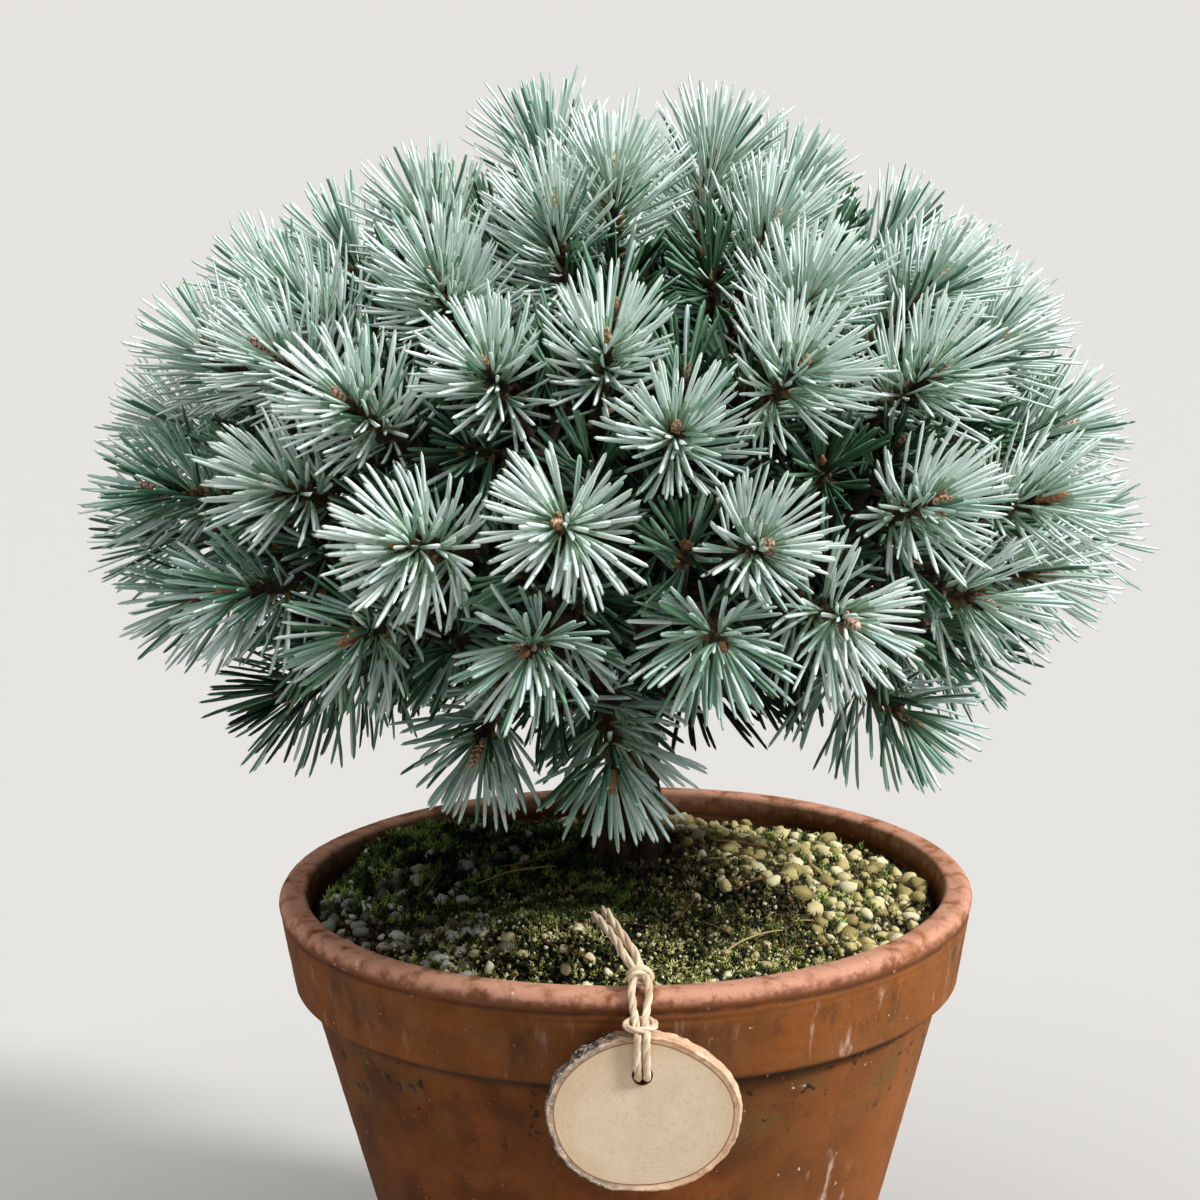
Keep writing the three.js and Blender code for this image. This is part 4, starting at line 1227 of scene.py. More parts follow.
# the soil: a closed bed with crumbs and hollows, and moss cushions that stand in it
soilSizes = {
    "top": 106.0, "edge": 98.5, "levelRadius": 17.0, "edgeGap": 0.3, "rings": 64, "segments": 210,
    "lumps": ((13.0, 0.8), (4.2, 0.55), (1.7, 0.3)), "seed": 21, "clearance": 0.3,
}
soilEdgeRadius = innerRadius(soilSizes["edge"]) - soilSizes["edgeGap"]
mossCushions = [
    {"node": "moss_left", "x": -34.0, "y": 20.0, "halfWidth": 25.0, "halfDepth": 29.0, "height": 4.5},
    {"node": "moss_front", "x": -11.0, "y": -37.0, "halfWidth": 24.0, "halfDepth": 17.0, "height": 4.0},
    {"node": "moss_right", "x": 25.0, "y": -9.0, "halfWidth": 16.0, "halfDepth": 15.0, "height": 3.5},
]
mossSizes = {
    "sink": 3.0, "wallSpace": 1.2, "rings": 22, "segments": 90, "lumps": ((6.0, 0.5), (2.2, 0.3)),
    "seed": 31, "swell": 0.7, "skirt": 2.2, "foot": 2.4, "ringCrowding": 0.8, "reach": 0.97,
}


def soilLevel(radius):
    # level round the trunk, and falling to the edge
    level, edge = soilSizes["levelRadius"], soilSizes["edge"]
    share = np.clip((radius - level) / (soilEdgeRadius - level), 0, 1)
    return edge + (soilSizes["top"] - edge) * (1 + np.cos(np.pi * share)) / 2


def lumps(x, y, layers, seed):
    flat = np.stack([x, y, np.zeros_like(x)], -1).reshape(-1, 3)
    total = sum(roughness3(flat, size, seed + k) * height for k, (size, height) in enumerate(layers))
    return total.reshape(x.shape)


def soilHeight(x, y):
    radius = np.hypot(x, y)
    inner = np.clip((soilEdgeRadius - radius) / 3, 0.15, 1)
    return soilLevel(radius) + lumps(x, y, soilSizes["lumps"], soilSizes["seed"]) * inner


def cushionHeight(x, y, cushion):
    across, along = (x - cushion["x"]) / cushion["halfWidth"], (y - cushion["y"]) / cushion["halfDepth"]
    share = across ** 2 + along ** 2
    level = soilLevel(np.hypot(cushion["x"], cushion["y"])) - mossSizes["sink"]
    swell = lumps(x, y, mossSizes["lumps"], mossSizes["seed"]) * mossSizes["swell"]
    rise = (cushion["height"] + mossSizes["sink"]) * np.sqrt(np.clip(1 - share, 0, 1)) + swell
    return np.where(share < 1, level + rise, 0.0)


def groundHeight(x, y):
    heights = [soilHeight(x, y)] + [cushionHeight(x, y, cushion) for cushion in mossCushions]
    return np.max(heights, axis=0)


def makeSoil(sizes):
    space = sizes["clearance"]
    floorLevel = potSizes["floor"] + space
    inside = np.array([(5, floorLevel), (25, floorLevel), (innerRadius(floorLevel) - space, floorLevel),
                       (innerRadius(shoulderHeight) - space, shoulderHeight),
                       (soilEdgeRadius, sizes["edge"] - 2)])
    top = np.linspace(soilEdgeRadius, 1.2, sizes["rings"])
    outline = np.concatenate([inside, np.stack([top, np.zeros_like(top)], -1)])
    rings = turnedShape(outline, sizes["segments"])
    rings[len(inside):, :, 2] = soilHeight(rings[len(inside):, :, 0], rings[len(inside):, :, 1])
    # potting soil: dark, damp and crumbly
    material, tree, shader = newMaterial("pottingSoil", {"Roughness": 0.95, "IOR": 1.2})
    place = addNode(tree, "ShaderNodeTexCoord").outputs["Object"]
    paintLayers(tree, shader, "#150f0a", [
        ("#3a2b1d", 0.6, patchMask(tree, place, 2.6, 0.45, 0.62, detail=4)),
        ("#262610", 0.6, patchMask(tree, place, 9, 0.45, 0.60, detail=4)),
        ("#0b0805", 0.7, patchMask(tree, place, 1.3, 0.5, 0.62, detail=3)),
    ])
    return settle(makePiece("soil_bed", skinRings(rings), [material]), "soil", "soil")


def makeCushions(sizes):
    angles = anglesRound(sizes["segments"])
    upward = np.linspace(0, 1, sizes["rings"]) ** sizes["ringCrowding"]
    shares = np.cos(upward * np.pi / 2 * sizes["reach"])[:, None]
    parts = []
    for cushion in mossCushions:
        x = cushion["x"] + cushion["halfWidth"] * shares * np.cos(angles)
        y = cushion["y"] + cushion["halfDepth"] * shares * np.sin(angles)
        inward = np.minimum(1, (soilEdgeRadius - sizes["wallSpace"]) / np.hypot(x, y))
        x, y = x * inward, y * inward
        level = soilLevel(np.hypot(x, y))
        z = np.maximum(cushionHeight(x, y, cushion), level - sizes["skirt"])
        z[0] = level[0] - sizes["foot"]
        parts.append(skinRings(np.stack([x, y, z], -1)))
    # moss: a dense mat, dark green between the shoots
    looks = plainLooks({"mossMat": "#141409"}, {"Roughness": 0.95, "IOR": 1.2})
    nodes = [cushion["node"] for cushion in mossCushions]
    return settle(makePiece("moss_cushions", joinParts(parts), looks), "moss", *nodes)


makeSoil(soilSizes)
makeCushions(mossSizes)
print("soil and moss cushions are in")


# scatter: small pieces spread over the ground by geometry nodes, each kind in four colours
wholeTurn = 6.283


def scatterTree():
    tree, given = newTree("scatterOverGround", {
        "Ground": "Geometry", "Pieces": "Collection", "Spacing": "Float", "Density": "Float",
        "Smallest": "Float", "Largest": "Float", "Sink": "Float", "Tilt": "Float", "Drift": "Float",
        "Seed": "Int", "Look 1": "Material", "Look 2": "Material", "Look 3": "Material",
        "Look 4": "Material"})
    share = addNode(tree, "GeometryNodeInputNamedAttribute", {"data_type": "FLOAT"}, {"Name": "share"})
    points = addNode(tree, "GeometryNodeDistributePointsOnFaces", {"distribute_method": "POISSON"}, {
        "Mesh": given["Ground"], "Distance Min": given["Spacing"], "Density Max": given["Density"],
        "Density Factor": share, "Seed": given["Seed"]})
    # each random choice has a seed of its own
    seeds = {use: addNode(tree, "ShaderNodeMath", {"operation": "ADD"}, {0: given["Seed"], 1: shift})
             for use, shift in (("size", 7.0), ("pick", 13.0), ("tone", 29.0))}
    back = addNode(tree, "ShaderNodeMath", {"operation": "MULTIPLY"}, {0: given["Tilt"], 1: -1.0})
    low = addNode(tree, "ShaderNodeCombineXYZ", inputs={"X": back, "Y": back, "Z": 0.0})
    high = addNode(tree, "ShaderNodeCombineXYZ", inputs={
        "X": given["Tilt"], "Y": given["Tilt"], "Z": wholeTurn})
    turn = addNode(tree, "FunctionNodeRandomValue", {"data_type": "FLOAT_VECTOR"}, {
        0: low, 1: high, "Seed": given["Seed"]})
    asRotation = addNode(tree, "FunctionNodeEulerToRotation", inputs={"Euler": turn})
    rotation = addNode(tree, "FunctionNodeRotateRotation", {"rotation_space": "LOCAL"}, {
        "Rotation": points.outputs["Rotation"], "Rotate By": asRotation})
    size = addNode(tree, "FunctionNodeRandomValue", {"data_type": "FLOAT"}, {
        2: given["Smallest"], 3: given["Largest"], "Seed": seeds["size"]})
    pick = addNode(tree, "FunctionNodeRandomValue", {"data_type": "INT"}, {
        4: 0, 5: 99, "Seed": seeds["pick"]})
    placed = instances(tree, given, points, pick, rotation, size)
    under = addNode(tree, "ShaderNodeMath", {"operation": "MULTIPLY"}, {0: given["Sink"], 1: -1.0})
    downward = addNode(tree, "ShaderNodeCombineXYZ", inputs={"Z": under})
    sunk = addNode(tree, "GeometryNodeTranslateInstances", inputs={
        "Instances": placed, "Translation": downward, "Local Space": False})
    # the tone follows soft patches over the ground, with some chance in it
    chance = addNode(tree, "FunctionNodeRandomValue", {"data_type": "FLOAT"}, {
        2: 0.0, 3: 0.99, "Seed": seeds["tone"]})
    position = addNode(tree, "GeometryNodeInputPosition")
    drift = addNode(tree, "ShaderNodeTexNoise", inputs={"Vector": position, "Scale": given["Drift"]})
    patches = addNode(tree, "ShaderNodeMapRange", inputs={
        "Value": drift, "From Min": 0.38, "From Max": 0.62, "To Max": 3.0})
    mixed = addNode(tree, "ShaderNodeMath", {"operation": "ADD"}, {0: patches, 1: chance})
    tone = addNode(tree, "ShaderNodeMath", {"operation": "FLOOR"}, {0: mixed})
    stored = addNode(tree, "GeometryNodeStoreNamedAttribute", {"data_type": "INT", "domain": "INSTANCE"}, {
        "Geometry": sunk, "Name": "tone", "Value": tone})
    whole = addNode(tree, "GeometryNodeRealizeInstances", inputs={"Geometry": stored})
    return finishTree(tree, whole, "tone", [given[f"Look {k}"] for k in range(1, 5)])


scatter = scatterTree()


def regionShare(x, y, spots, patchSize, seed):
    # how thickly a kind of piece lies at a place: round spots (x, y, radius, strength), with ragged edges
    ragged = lumps(x, y, ((patchSize, 0.5), (patchSize / 3, 0.25)), seed)
    share = np.zeros_like(x)
    for spotX, spotY, radius, strength in spots:
        inside = 1.5 - np.hypot(x - spotX, y - spotY) / radius + ragged
        share = np.maximum(share, np.clip(inside * 2, 0, 1) * strength)
    return share


groundSizes = {"rings": 60, "segments": 200, "trunkSpace": 10.5}


def groundMesh(spots, patchSize, seed, wallSpace):
    # the open top of the ground, only for things to lie on
    radii = np.linspace(soilEdgeRadius - wallSpace, 0.5, groundSizes["rings"])
    angles = anglesRound(groundSizes["segments"])
    x, y = radii[:, None] * np.cos(angles), radii[:, None] * np.sin(angles)
    rings = np.stack([x, y, groundHeight(x, y)], -1)
    places, triangles, slots = skinRings(rings)
    top = triangles[(triangles != len(places) - 2).all(1)]
    share = regionShare(places[:, 0], places[:, 1], spots, patchSize, seed)
    trunkFoot = np.hypot(places[:, 0], places[:, 1] - trunkSizes["footBack"])
    share = np.where(trunkFoot < groundSizes["trunkSpace"], 0.0, share)
    share[-2:] = 0
    return (places, top, slots[:len(top)]), share


def scatterPiece(name, sizes):
    looks = plainLooks({f"{name}Look{k + 1}": colour for k, colour in enumerate(sizes["colours"])},
                       {"Roughness": sizes["roughness"], "IOR": 1.45})
    ground, share = groundMesh(sizes["spots"], sizes["patch"], sizes["seed"], sizes["wallSpace"])
    piece = makePiece(name, ground, [], values={"share": share})
    spacing = sizes["spacing"] * mm
    settings = {
        "Spacing": spacing, "Density": 1.3 / spacing ** 2,
        "Smallest": sizes["scale"][0], "Largest": sizes["scale"][1], "Sink": sizes["sink"] * mm,
        "Tilt": sizes["tilt"], "Drift": 1 / (sizes["drift"] * mm), "Seed": sizes["seed"],
        **{f"Look {k + 1}": look for k, look in enumerate(looks)}}
    kinds = [(kind, {}) for kind in sizes["kinds"]]
    return settle(runTree(piece, scatter, kinds, settings), sizes["slot"])


stoneSizes = {"dents": (0.8, 0.42), "fineDents": (0.38, 0.16), "narrow": 0.78}


def stone(size, squash, seed, divisions):
    # a worn pebble: a ball pushed in and out, with its middle at the origin
    shape = bmesh.new()
    bmesh.ops.create_icosphere(shape, subdivisions=divisions, radius=1.0)
    places = np.array([vertex.co[:] for vertex in shape.verts])
    triangles = np.array([[vertex.index for vertex in face.verts] for face in shape.faces])
    shape.free()
    (dent, depth), (fineDent, fineDepth) = stoneSizes["dents"], stoneSizes["fineDents"]
    change = roughness3(places, dent, seed) * depth + roughness3(places, fineDent, seed + 3) * fineDepth
    places = places * (1 + change)[:, None] * [1.0, stoneSizes["narrow"], squash] * size
    return places, triangles, np.zeros(len(triangles), int)


# all but the leans as shares of the shoot's height
mossShootSizes = {
    "lean": 0.35, "leanDown": 0.75, "leanJitter": 0.2,
    "leafHalf": 0.16, "topLeaf": 0.5, "leafLength": 0.75, "keelDrop": 0.2, "keelOut": 0.1,
}


def mossShoot(height, leaves, seed):
    # a moss shoot: a star of pointed leaves around a short stem
    sizes = mossShootSizes
    random = np.random.default_rng(seed)
    parts = []
    for k in range(leaves):
        turn = k * goldenAngle + random.random()
        lean = sizes["lean"] + sizes["leanDown"] * (k / leaves) + random.random() * sizes["leanJitter"]
        out = np.array([math.cos(turn), math.sin(turn), 0.0])
        leaf = out * math.sin(lean) + np.array([0, 0, math.cos(lean)])
        side = np.array([-out[1], out[0], 0.0]) * height * sizes["leafHalf"]
        foot = np.array([0, 0, height * sizes["topLeaf"] * (1 - k / leaves)])
        tip = foot + leaf * height * sizes["leafLength"]
        keel = foot - np.array([0, 0, height * sizes["keelDrop"]]) + out * height * sizes["keelOut"]
        places = np.array([foot + side, foot - side, keel, tip])
        parts.append((places, np.array([(0, 1, 2), (0, 2, 3), (2, 1, 3), (1, 0, 3)]), 0))
    return joinParts(parts)


pebbles = [stone(1.0, 0.7, 40 + k, 2) for k in range(6)]
crumbs = [stone(1.0, 0.8, 60 + k, 1) for k in range(4)]
mossTufts = [mossShoot(1.0, 7, 80 + k) for k in range(5)]
fineMossTufts = [mossShoot(1.0, 5, 90 + k) for k in range(5)]
gravelSpots = [(52, 8, 27, 1), (36, 45, 24, 1), (58, -24, 16, 1), (8, 60, 13, 0.9)]
# spacing, sink, drift, patch and wallSpace in millimetres, scale in millimetres of radius or height
scatterSizes = {
    "gravel": {
        "slot": "soil", "kinds": pebbles, "colours": ("#9c8c54", "#c0b174", "#d2c48e", "#e2d9ae"),
        "roughness": 0.75, "seed": 3,
        "spacing": 2.9, "scale": (1.0, 2.7), "sink": -0.5, "tilt": 0.6, "drift": 2.0, "patch": 14,
        "wallSpace": 2.4, "spots": gravelSpots},
    "fine_gravel": {
        "slot": "soil", "kinds": crumbs, "colours": ("#3f3620", "#6e603a", "#a09160", "#c8ba88"),
        "roughness": 0.8, "seed": 4,
        "spacing": 2.3, "scale": (0.6, 1.1), "sink": -0.3, "tilt": 0.8, "drift": 2.0, "patch": 14,
        "wallSpace": 1.4, "spots": gravelSpots},
    "grey_stones": {
        "slot": "soil", "kinds": pebbles, "colours": ("#5d5745", "#8a897e", "#b0afa4", "#d5d4ca"),
        "roughness": 0.7, "seed": 5,
        "spacing": 3.1, "scale": (1.0, 2.1), "sink": -0.2, "tilt": 0.5, "drift": 2.0, "patch": 9,
        "wallSpace": 2.2, "spots": [(-58, -8, 16, 1), (-46, -36, 17, 1), (-28, 56, 9, 0.7),
                                    (-46, 18, 22, 0.35)]},
    "cream_pebbles": {
        "slot": "soil", "kinds": pebbles, "colours": ("#978655", "#b3a478", "#cbbd97", "#ddd1b0"),
        "roughness": 0.65, "seed": 8,
        "spacing": 3.9, "scale": (0.7, 1.65), "sink": -0.5, "tilt": 0.6, "drift": 2.0, "patch": 6,
        "wallSpace": 2.5, "spots": [(-32, -54, 13, 1), (24, -54, 22, 0.8), (52, -30, 14, 0.8),
                                    (-4, -60, 14, 0.8), (30, -20, 16, 0.25)]},
    "grit": {
        "slot": "soil", "kinds": crumbs, "colours": ("#140e08", "#271d13", "#413322", "#6b5d42"),
        "roughness": 0.9, "seed": 12,
        "spacing": 1.65, "scale": (0.45, 1.05), "sink": 0.0, "tilt": 0.8, "drift": 4.0, "patch": 8,
        "wallSpace": 1.4, "spots": [(0, 0, 80, 0.9)]},
    "pale_crumbs": {
        "slot": "soil", "kinds": crumbs, "colours": ("#86814e", "#aea873", "#cec79a", "#e6dfba"),
        "roughness": 0.8, "seed": 14,
        "spacing": 1.6, "scale": (0.25, 0.65), "sink": -0.9, "tilt": 0.8, "drift": 2.0, "patch": 5,
        "wallSpace": 1.2, "spots": [(-8, -44, 26, 0.9), (22, -50, 20, 0.9), (-38, -48, 14, 0.8),
                                    (46, -36, 14, 0.6), (26, -8, 22, 0.3)]},
    "moss_green": {
        "slot": "moss", "kinds": mossTufts, "colours": ("#1b280b", "#34491a", "#5c782f", "#a0b95a"),
        "roughness": 0.8, "seed": 17,
        "spacing": 1.12, "scale": (1.2, 2.6), "sink": 0.2, "tilt": 0.4, "drift": 6.0, "patch": 7,
        "wallSpace": 1.6, "spots": [(-36, 22, 29, 0.95), (-12, 44, 15, 0.8), (-58, 2, 9, 0.6),
                                    (-8, -26, 12, 0.7), (34, 34, 14, 0.3), (50, 6, 18, 0.22)]},
    "moss_yellow": {
        "slot": "moss", "kinds": fineMossTufts, "colours": ("#1a200a", "#434d1b", "#848a3d", "#cfca8f"),
        "roughness": 0.8, "seed": 23,
        "spacing": 0.84, "scale": (0.9, 1.9), "sink": 0.05, "tilt": 0.6, "drift": 3.6, "patch": 6,
        "wallSpace": 1.2, "spots": [(-11, -40, 27, 1), (18, -50, 21, 1), (-40, -46, 10, 0.4),
                                    (44, -38, 12, 0.6), (46, 10, 24, 0.2)]},
    "moss_brown": {
        "slot": "moss", "kinds": fineMossTufts, "colours": ("#1e220b", "#3d401d", "#5c532c", "#8a7d54"),
        "roughness": 0.85, "seed": 29,
        "spacing": 1.05, "scale": (0.8, 1.9), "sink": 0.15, "tilt": 0.5, "drift": 5.0, "patch": 6,
        "wallSpace": 1.8, "spots": [(28, -8, 28, 1), (20, 30, 15, 0.8), (44, 12, 16, 0.3),
                                    (-46, -30, 16, 0.5), (0, -14, 15, 0.35)]},
}
for name, sizes in scatterSizes.items():
    scatterPiece(name, sizes)
print("stones and moss are scattered")


# litter: fallen needles, dry stems and bits of bark on the ground
litterSizes = {
    "seed": 51, "fallen": 30, "length": (7.0, 16.0), "radius": 0.23, "rings": 9, "sides": 5,
    "reach": 60.0, "trunkSpace": 13, "wallSpace": 3, "bow": 0.5, "rise": 0.7, "bed": 0.2,
    # dry stems: place, heading, length, radius
    "stems": [((34, 20), 195, 14, 0.32), ((16, 4), -30, 11, 0.38), ((-30, 2), 30, 22, 0.3),
              ((-34, -6), 8, 18, 0.28), ((8, -34), 62, 13, 0.3), ((20, -44), 38, 15, 0.28),
              ((-14, -20), 80, 10, 0.3), ((44, 6), 110, 9, 0.36)],
    "stemBow": 0.9, "stemLift": 1.6, "shares": (0, 0.1, 0.8, 1), "widths": (0.55, 1, 0.9, 0.4),
}


def lyingStem(x, y, heading, length, radius, bow, lift, slot, sizes):
    share = np.linspace(0, 1, sizes["rings"])
    turn = math.radians(heading) + (share - 0.5) * bow
    step = length / (sizes["rings"] - 1)
    px = x + np.cumsum(np.cos(turn)) * step
    py = y + np.cumsum(np.sin(turn)) * step
    inside = np.minimum(1, (soilEdgeRadius - sizes["wallSpace"]) / np.maximum(np.hypot(px, py), 1e-6))
    px, py = px * inside, py * inside
    # it bridges most of the hollows under it
    ground = groundHeight(px, py)
    pz = ground.max() * sizes["bed"] + ground * (1 - sizes["bed"]) + radius + sizes["rise"] + lift * share
    radii = radius * np.interp(share, sizes["shares"], sizes["widths"])
    return sweep(np.stack([px, py, pz], -1), radii, sizes["sides"], slot)


def makeLitter(sizes):
    random = np.random.default_rng(sizes["seed"])
    parts = []
    for _ in range(sizes["fallen"]):
        reach = sizes["reach"] * math.sqrt(random.random())
        angle = random.random() * 2 * math.pi
        x, y = reach * math.cos(angle), reach * math.sin(angle)
        if math.hypot(x, y - trunkSizes["footBack"]) < sizes["trunkSpace"]:
            continue
        heading, length = random.random() * 360, random.uniform(*sizes["length"])
        bow, slot = random.normal(0, sizes["bow"]), random.integers(0, 3)
        parts.append(lyingStem(x, y, heading, length, sizes["radius"], bow, 0.0, slot, sizes))
    for k, ((x, y), heading, length, radius) in enumerate(sizes["stems"]):
        bow = sizes["stemBow"] * (-1) ** k
        parts.append(lyingStem(x, y, heading, length, radius, bow, sizes["stemLift"], 3 + k % 2, sizes))
    # dry litter: old needles gone brown, and thin weathered stems
    looks = plainLooks({
        "fallenBrown": "#6b472a", "fallenDull": "#54402b", "fallenPale": "#9c7b50",
        "dryStem": "#8f6b3e", "dryStemPale": "#b9a271"}, {"Roughness": 0.85, "IOR": 1.4})
    return settle(makePiece("litter", joinParts(parts), looks), "soil")


makeLitter(litterSizes)

# the tag: a slice across a small branch, its bark left on, with a hole for the tie
tagSizes = {
    "width": 39.4, "height": 33.4, "thickness": 4.5, "centre": (3.0, -79.25, 80.8),
    "holeRadius": 2.1, "holeRise": 8.4, "bark": 0.9, "cambium": 0.65, "segments": 220,
    "wallRings": 16, "barkRelief": 0.5, "flakySide": 0.5, "edge": 0.35,
    "heart": (1.5, 0, -1), "yearRing": 1.15, "faceInsets": (14.5, 12.0, 9.0, 6.0, 4.0),
    "faceEdge": 0.3, "faceSink": 0.15, "barkSink": 0.1,
    "dents": (3.2, 0.6), "fineDents": (1.1, 0.4), "dentLevel": 0.35, "flakyFrom": -0.1,
}


def tagOutlineSwell(angles):
    return 1 + 0.012 * np.cos(3 * angles + 0.6) + 0.008 * np.sin(5 * angles)


def tagRing(inset, depth, sizes):
    # a ring of the slice, some way in from its outline, at a depth behind its middle
    angles = anglesRound(sizes["segments"])
    across = (sizes["width"] / 2 * tagOutlineSwell(angles) - inset) * np.cos(angles)
    rise = (sizes["height"] / 2 * tagOutlineSwell(angles) - inset) * np.sin(angles)
    middle = np.array(sizes["centre"])
    return np.stack([middle[0] + across, np.full_like(across, middle[1] + depth), middle[2] + rise], -1)


def tagFaceMaterial(sizes):
    # a sawn and sanded face of pale wood: faint year rings round its heart, in soft patches
    material, tree, shader = newMaterial("sandedPaleWood", {"Roughness": 0.62, "IOR": 1.45})
    place = addNode(tree, "ShaderNodeTexCoord").outputs["Object"]
    heart = [(c + shift) * mm for c, shift in zip(sizes["centre"], sizes["heart"])]
    centred = addNode(tree, "ShaderNodeVectorMath", {"operation": "SUBTRACT"}, {0: place, 1: heart})
    rounded = addNode(tree, "ShaderNodeVectorMath", {"operation": "MULTIPLY"}, {
        0: centred, 1: (1.0, 0.0, sizes["width"] / sizes["height"])})
    reach = addNode(tree, "ShaderNodeVectorMath", {"operation": "LENGTH"}, {0: rounded})
    drift = addNode(tree, "ShaderNodeTexNoise", inputs={
        "Vector": place, "Scale": 1 / (9 * mm), "Detail": 2.0})
    drifted = addNode(tree, "ShaderNodeMath", {"operation": "MULTIPLY_ADD"}, {
        0: drift, 1: 2.4 * mm, 2: reach})
    phase = addNode(tree, "ShaderNodeMath", {"operation": "MULTIPLY"}, {
        0: drifted, 1: 2 * math.pi / (sizes["yearRing"] * mm)})
    wave = addNode(tree, "ShaderNodeMath", {"operation": "SINE"}, {0: phase})
    ringMask = addNode(tree, "ShaderNodeMapRange", inputs={
        "Value": wave, "From Min": 0.1, "From Max": 1.0})
    strengthen = patchMask(tree, place, 12, 0.35, 0.65)
    outerWood = addNode(tree, "ShaderNodeMapRange", softStep, {
        "Value": reach, "From Min": 0.012, "From Max": 0.019})
    paintLayers(tree, shader, "#cdb79b", [
        ("#d9c6ad", 0.6, patchMask(tree, place, 8, 0.4, 0.65)),
        ("#b0987a", 0.17, ringMask, strengthen),
        ("#b89c72", 0.35, outerWood),
        ("#a88d64", 0.25, patchMask(tree, place, 1.2, 0.5, 0.7, detail=3)),
    ])
    return material


def tagBarkMaterial(sizes):
    # thin branch bark: tan and pinkish where it is rubbed, darker grey-black and flaky towards the left
    material, tree, shader = newMaterial("branchBark", {"Roughness": 0.85, "IOR": 1.4})
    place = addNode(tree, "ShaderNodeTexCoord").outputs["Object"]
    parts = addNode(tree, "ShaderNodeSeparateXYZ", inputs={"Vector": place}).outputs
    leftSide = addNode(tree, "ShaderNodeMapRange", softStep, {
        "Value": parts["X"], "From Min": 0.004, "From Max": -0.006})
    face = (sizes["centre"][1] - sizes["thickness"] / 2) * mm
    behindFace = addNode(tree, "ShaderNodeMapRange", softStep, {
        "Value": parts["Y"], "From Min": face - 0.1 * mm, "From Max": face + 0.5 * mm})
    paintLayers(tree, shader, "#c8a283", [
        ("#e2c4a6", 0.6, patchMask(tree, place, 5, 0.45, 0.62, detail=4)),
        ("#9d7350", 0.5, patchMask(tree, place, 2, 0.5, 0.65, detail=4)),
        ("#8a8074", 0.7, leftSide, patchMask(tree, place, 4, 0.36, 0.52, detail=4)),
        ("#5f5850", 0.85, leftSide, behindFace),
        ("#24211e", 0.95, leftSide, behindFace, patchMask(tree, place, 1.1, 0.45, 0.54, detail=4)),
        ("#c3b9aa", 0.75, leftSide, patchMask(tree, place, 0.8, 0.55, 0.60, detail=3)),
        ("#7c5238", 0.6, patchMask(tree, place, 1.6, 0.62, 0.68, detail=4)),
    ])
    return material


def makeTag(sizes):
    half = sizes["thickness"] / 2
    bark, cambium, edge = sizes["bark"], sizes["cambium"], sizes["edge"]
    faceDepth, barkDepth = half - sizes["faceSink"], half - sizes["barkSink"]
    inner = [*sizes["faceInsets"], bark + cambium + sizes["faceEdge"]]
    # the front half: inset, depth and look of every ring, from the middle of the face outwards
    front = [(inset, faceDepth, 0) for inset in inner]
    front += [(bark + cambium, faceDepth, 2), (bark, barkDepth, 1), (bark * 0.5, half, 1), (edge, half, 1)]
    wall = [(0.0, depth, 1) for depth in np.linspace(half - edge, edge - half, sizes["wallRings"])]
    steps = front + wall + [(inset, -depth, look) for inset, depth, look in reversed(front)]
    rings = np.array([tagRing(inset, depth, sizes) for inset, depth, _ in steps])
    middle = np.array(sizes["centre"])
    outward = unit((rings - middle) * [1, 0, 1])
    onBark = np.array([slot == 1 for _, _, slot in steps])
    (dent, depth), (fineDent, fineDepth) = sizes["dents"], sizes["fineDents"]
    flat = rings.reshape(-1, 3)
    rough = roughness3(flat, dent, 61) * depth + roughness3(flat, fineDent, 62) * fineDepth
    rough = rough.reshape(rings.shape[:2]) - sizes["dentLevel"]
    flaky = 1 + sizes["flakySide"] * (outward[..., 0] < sizes["flakyFrom"])
    rough = rough * sizes["barkRelief"] * onBark[:, None] * flaky
    rings = rings + outward * rough[..., None]
    places, triangles, _ = skinRings(rings)
    # every band between two rings takes the look of the ring further out
    bandSlots = [steps[i + 1][2] if i < len(steps) // 2 else steps[i][2] for i in range(len(steps) - 1)]
    perBand = np.repeat(bandSlots, sizes["segments"])
    slots = np.concatenate([perBand, perBand, np.zeros(2 * sizes["segments"], int)])
    cambiumLooks = plainLooks({"cambiumLine": "#8b6446"}, {"Roughness": 0.7, "IOR": 1.4})
    looks = [tagFaceMaterial(sizes), tagBarkMaterial(sizes), *cambiumLooks]
    tag = makePiece("tag_slice", (places, triangles, slots), looks, smooth=False)
    hole = middle + np.array([[0, 5.0, 0], [0, 0, 0], [0, -5.0, 0]]) + [0, 0, sizes["holeRise"]]
    drillHole(tag, hole, sizes["holeRadius"], cambiumLooks, smooth=False)
    return settle(tag, "tag_wood", "name_tag")


makeTag(tagSizes)

# the tie: three-ply twine, doubled through the tag, looped above it and knotted on the rim
twineSizes = {
    "seed": 72, "plyRadius": 0.50, "plyOffset": 0.37, "pitch": 8.5, "tailPitch": 17.0, "sides": 7,
    "ringSpacing": 0.42, "tailOpening": 0.9, "tailScale": 1.08, "openLength": 3.0,
    "endLength": 1.2, "endWidth": 0.6,
    "tagKnot": (2.7, -79.9, 99.4), "rimKnot": (2.8, -73.3, 107.3), "tailEnd": (-5.4, -49.5, 113.0),
    "tagLoop": (3.0, 2.5, 0.3), "tagLoopScale": 0.85,
    "rimWrap": (1.95, 1.45), "rimWrapTurn": (-0.5, 3.3 * np.pi), "rimWrapSlide": (0.55, 0.9),
    "rimWrapScale": 0.95,
    "fibres": 9, "fibreRadius": 0.08, "fibreLength": (1.2, 2.8), "fibreBack": 1.4, "fibreDroop": 0.14,
    "fibreSpread": 0.45, "fibreScatter": 0.28,
}


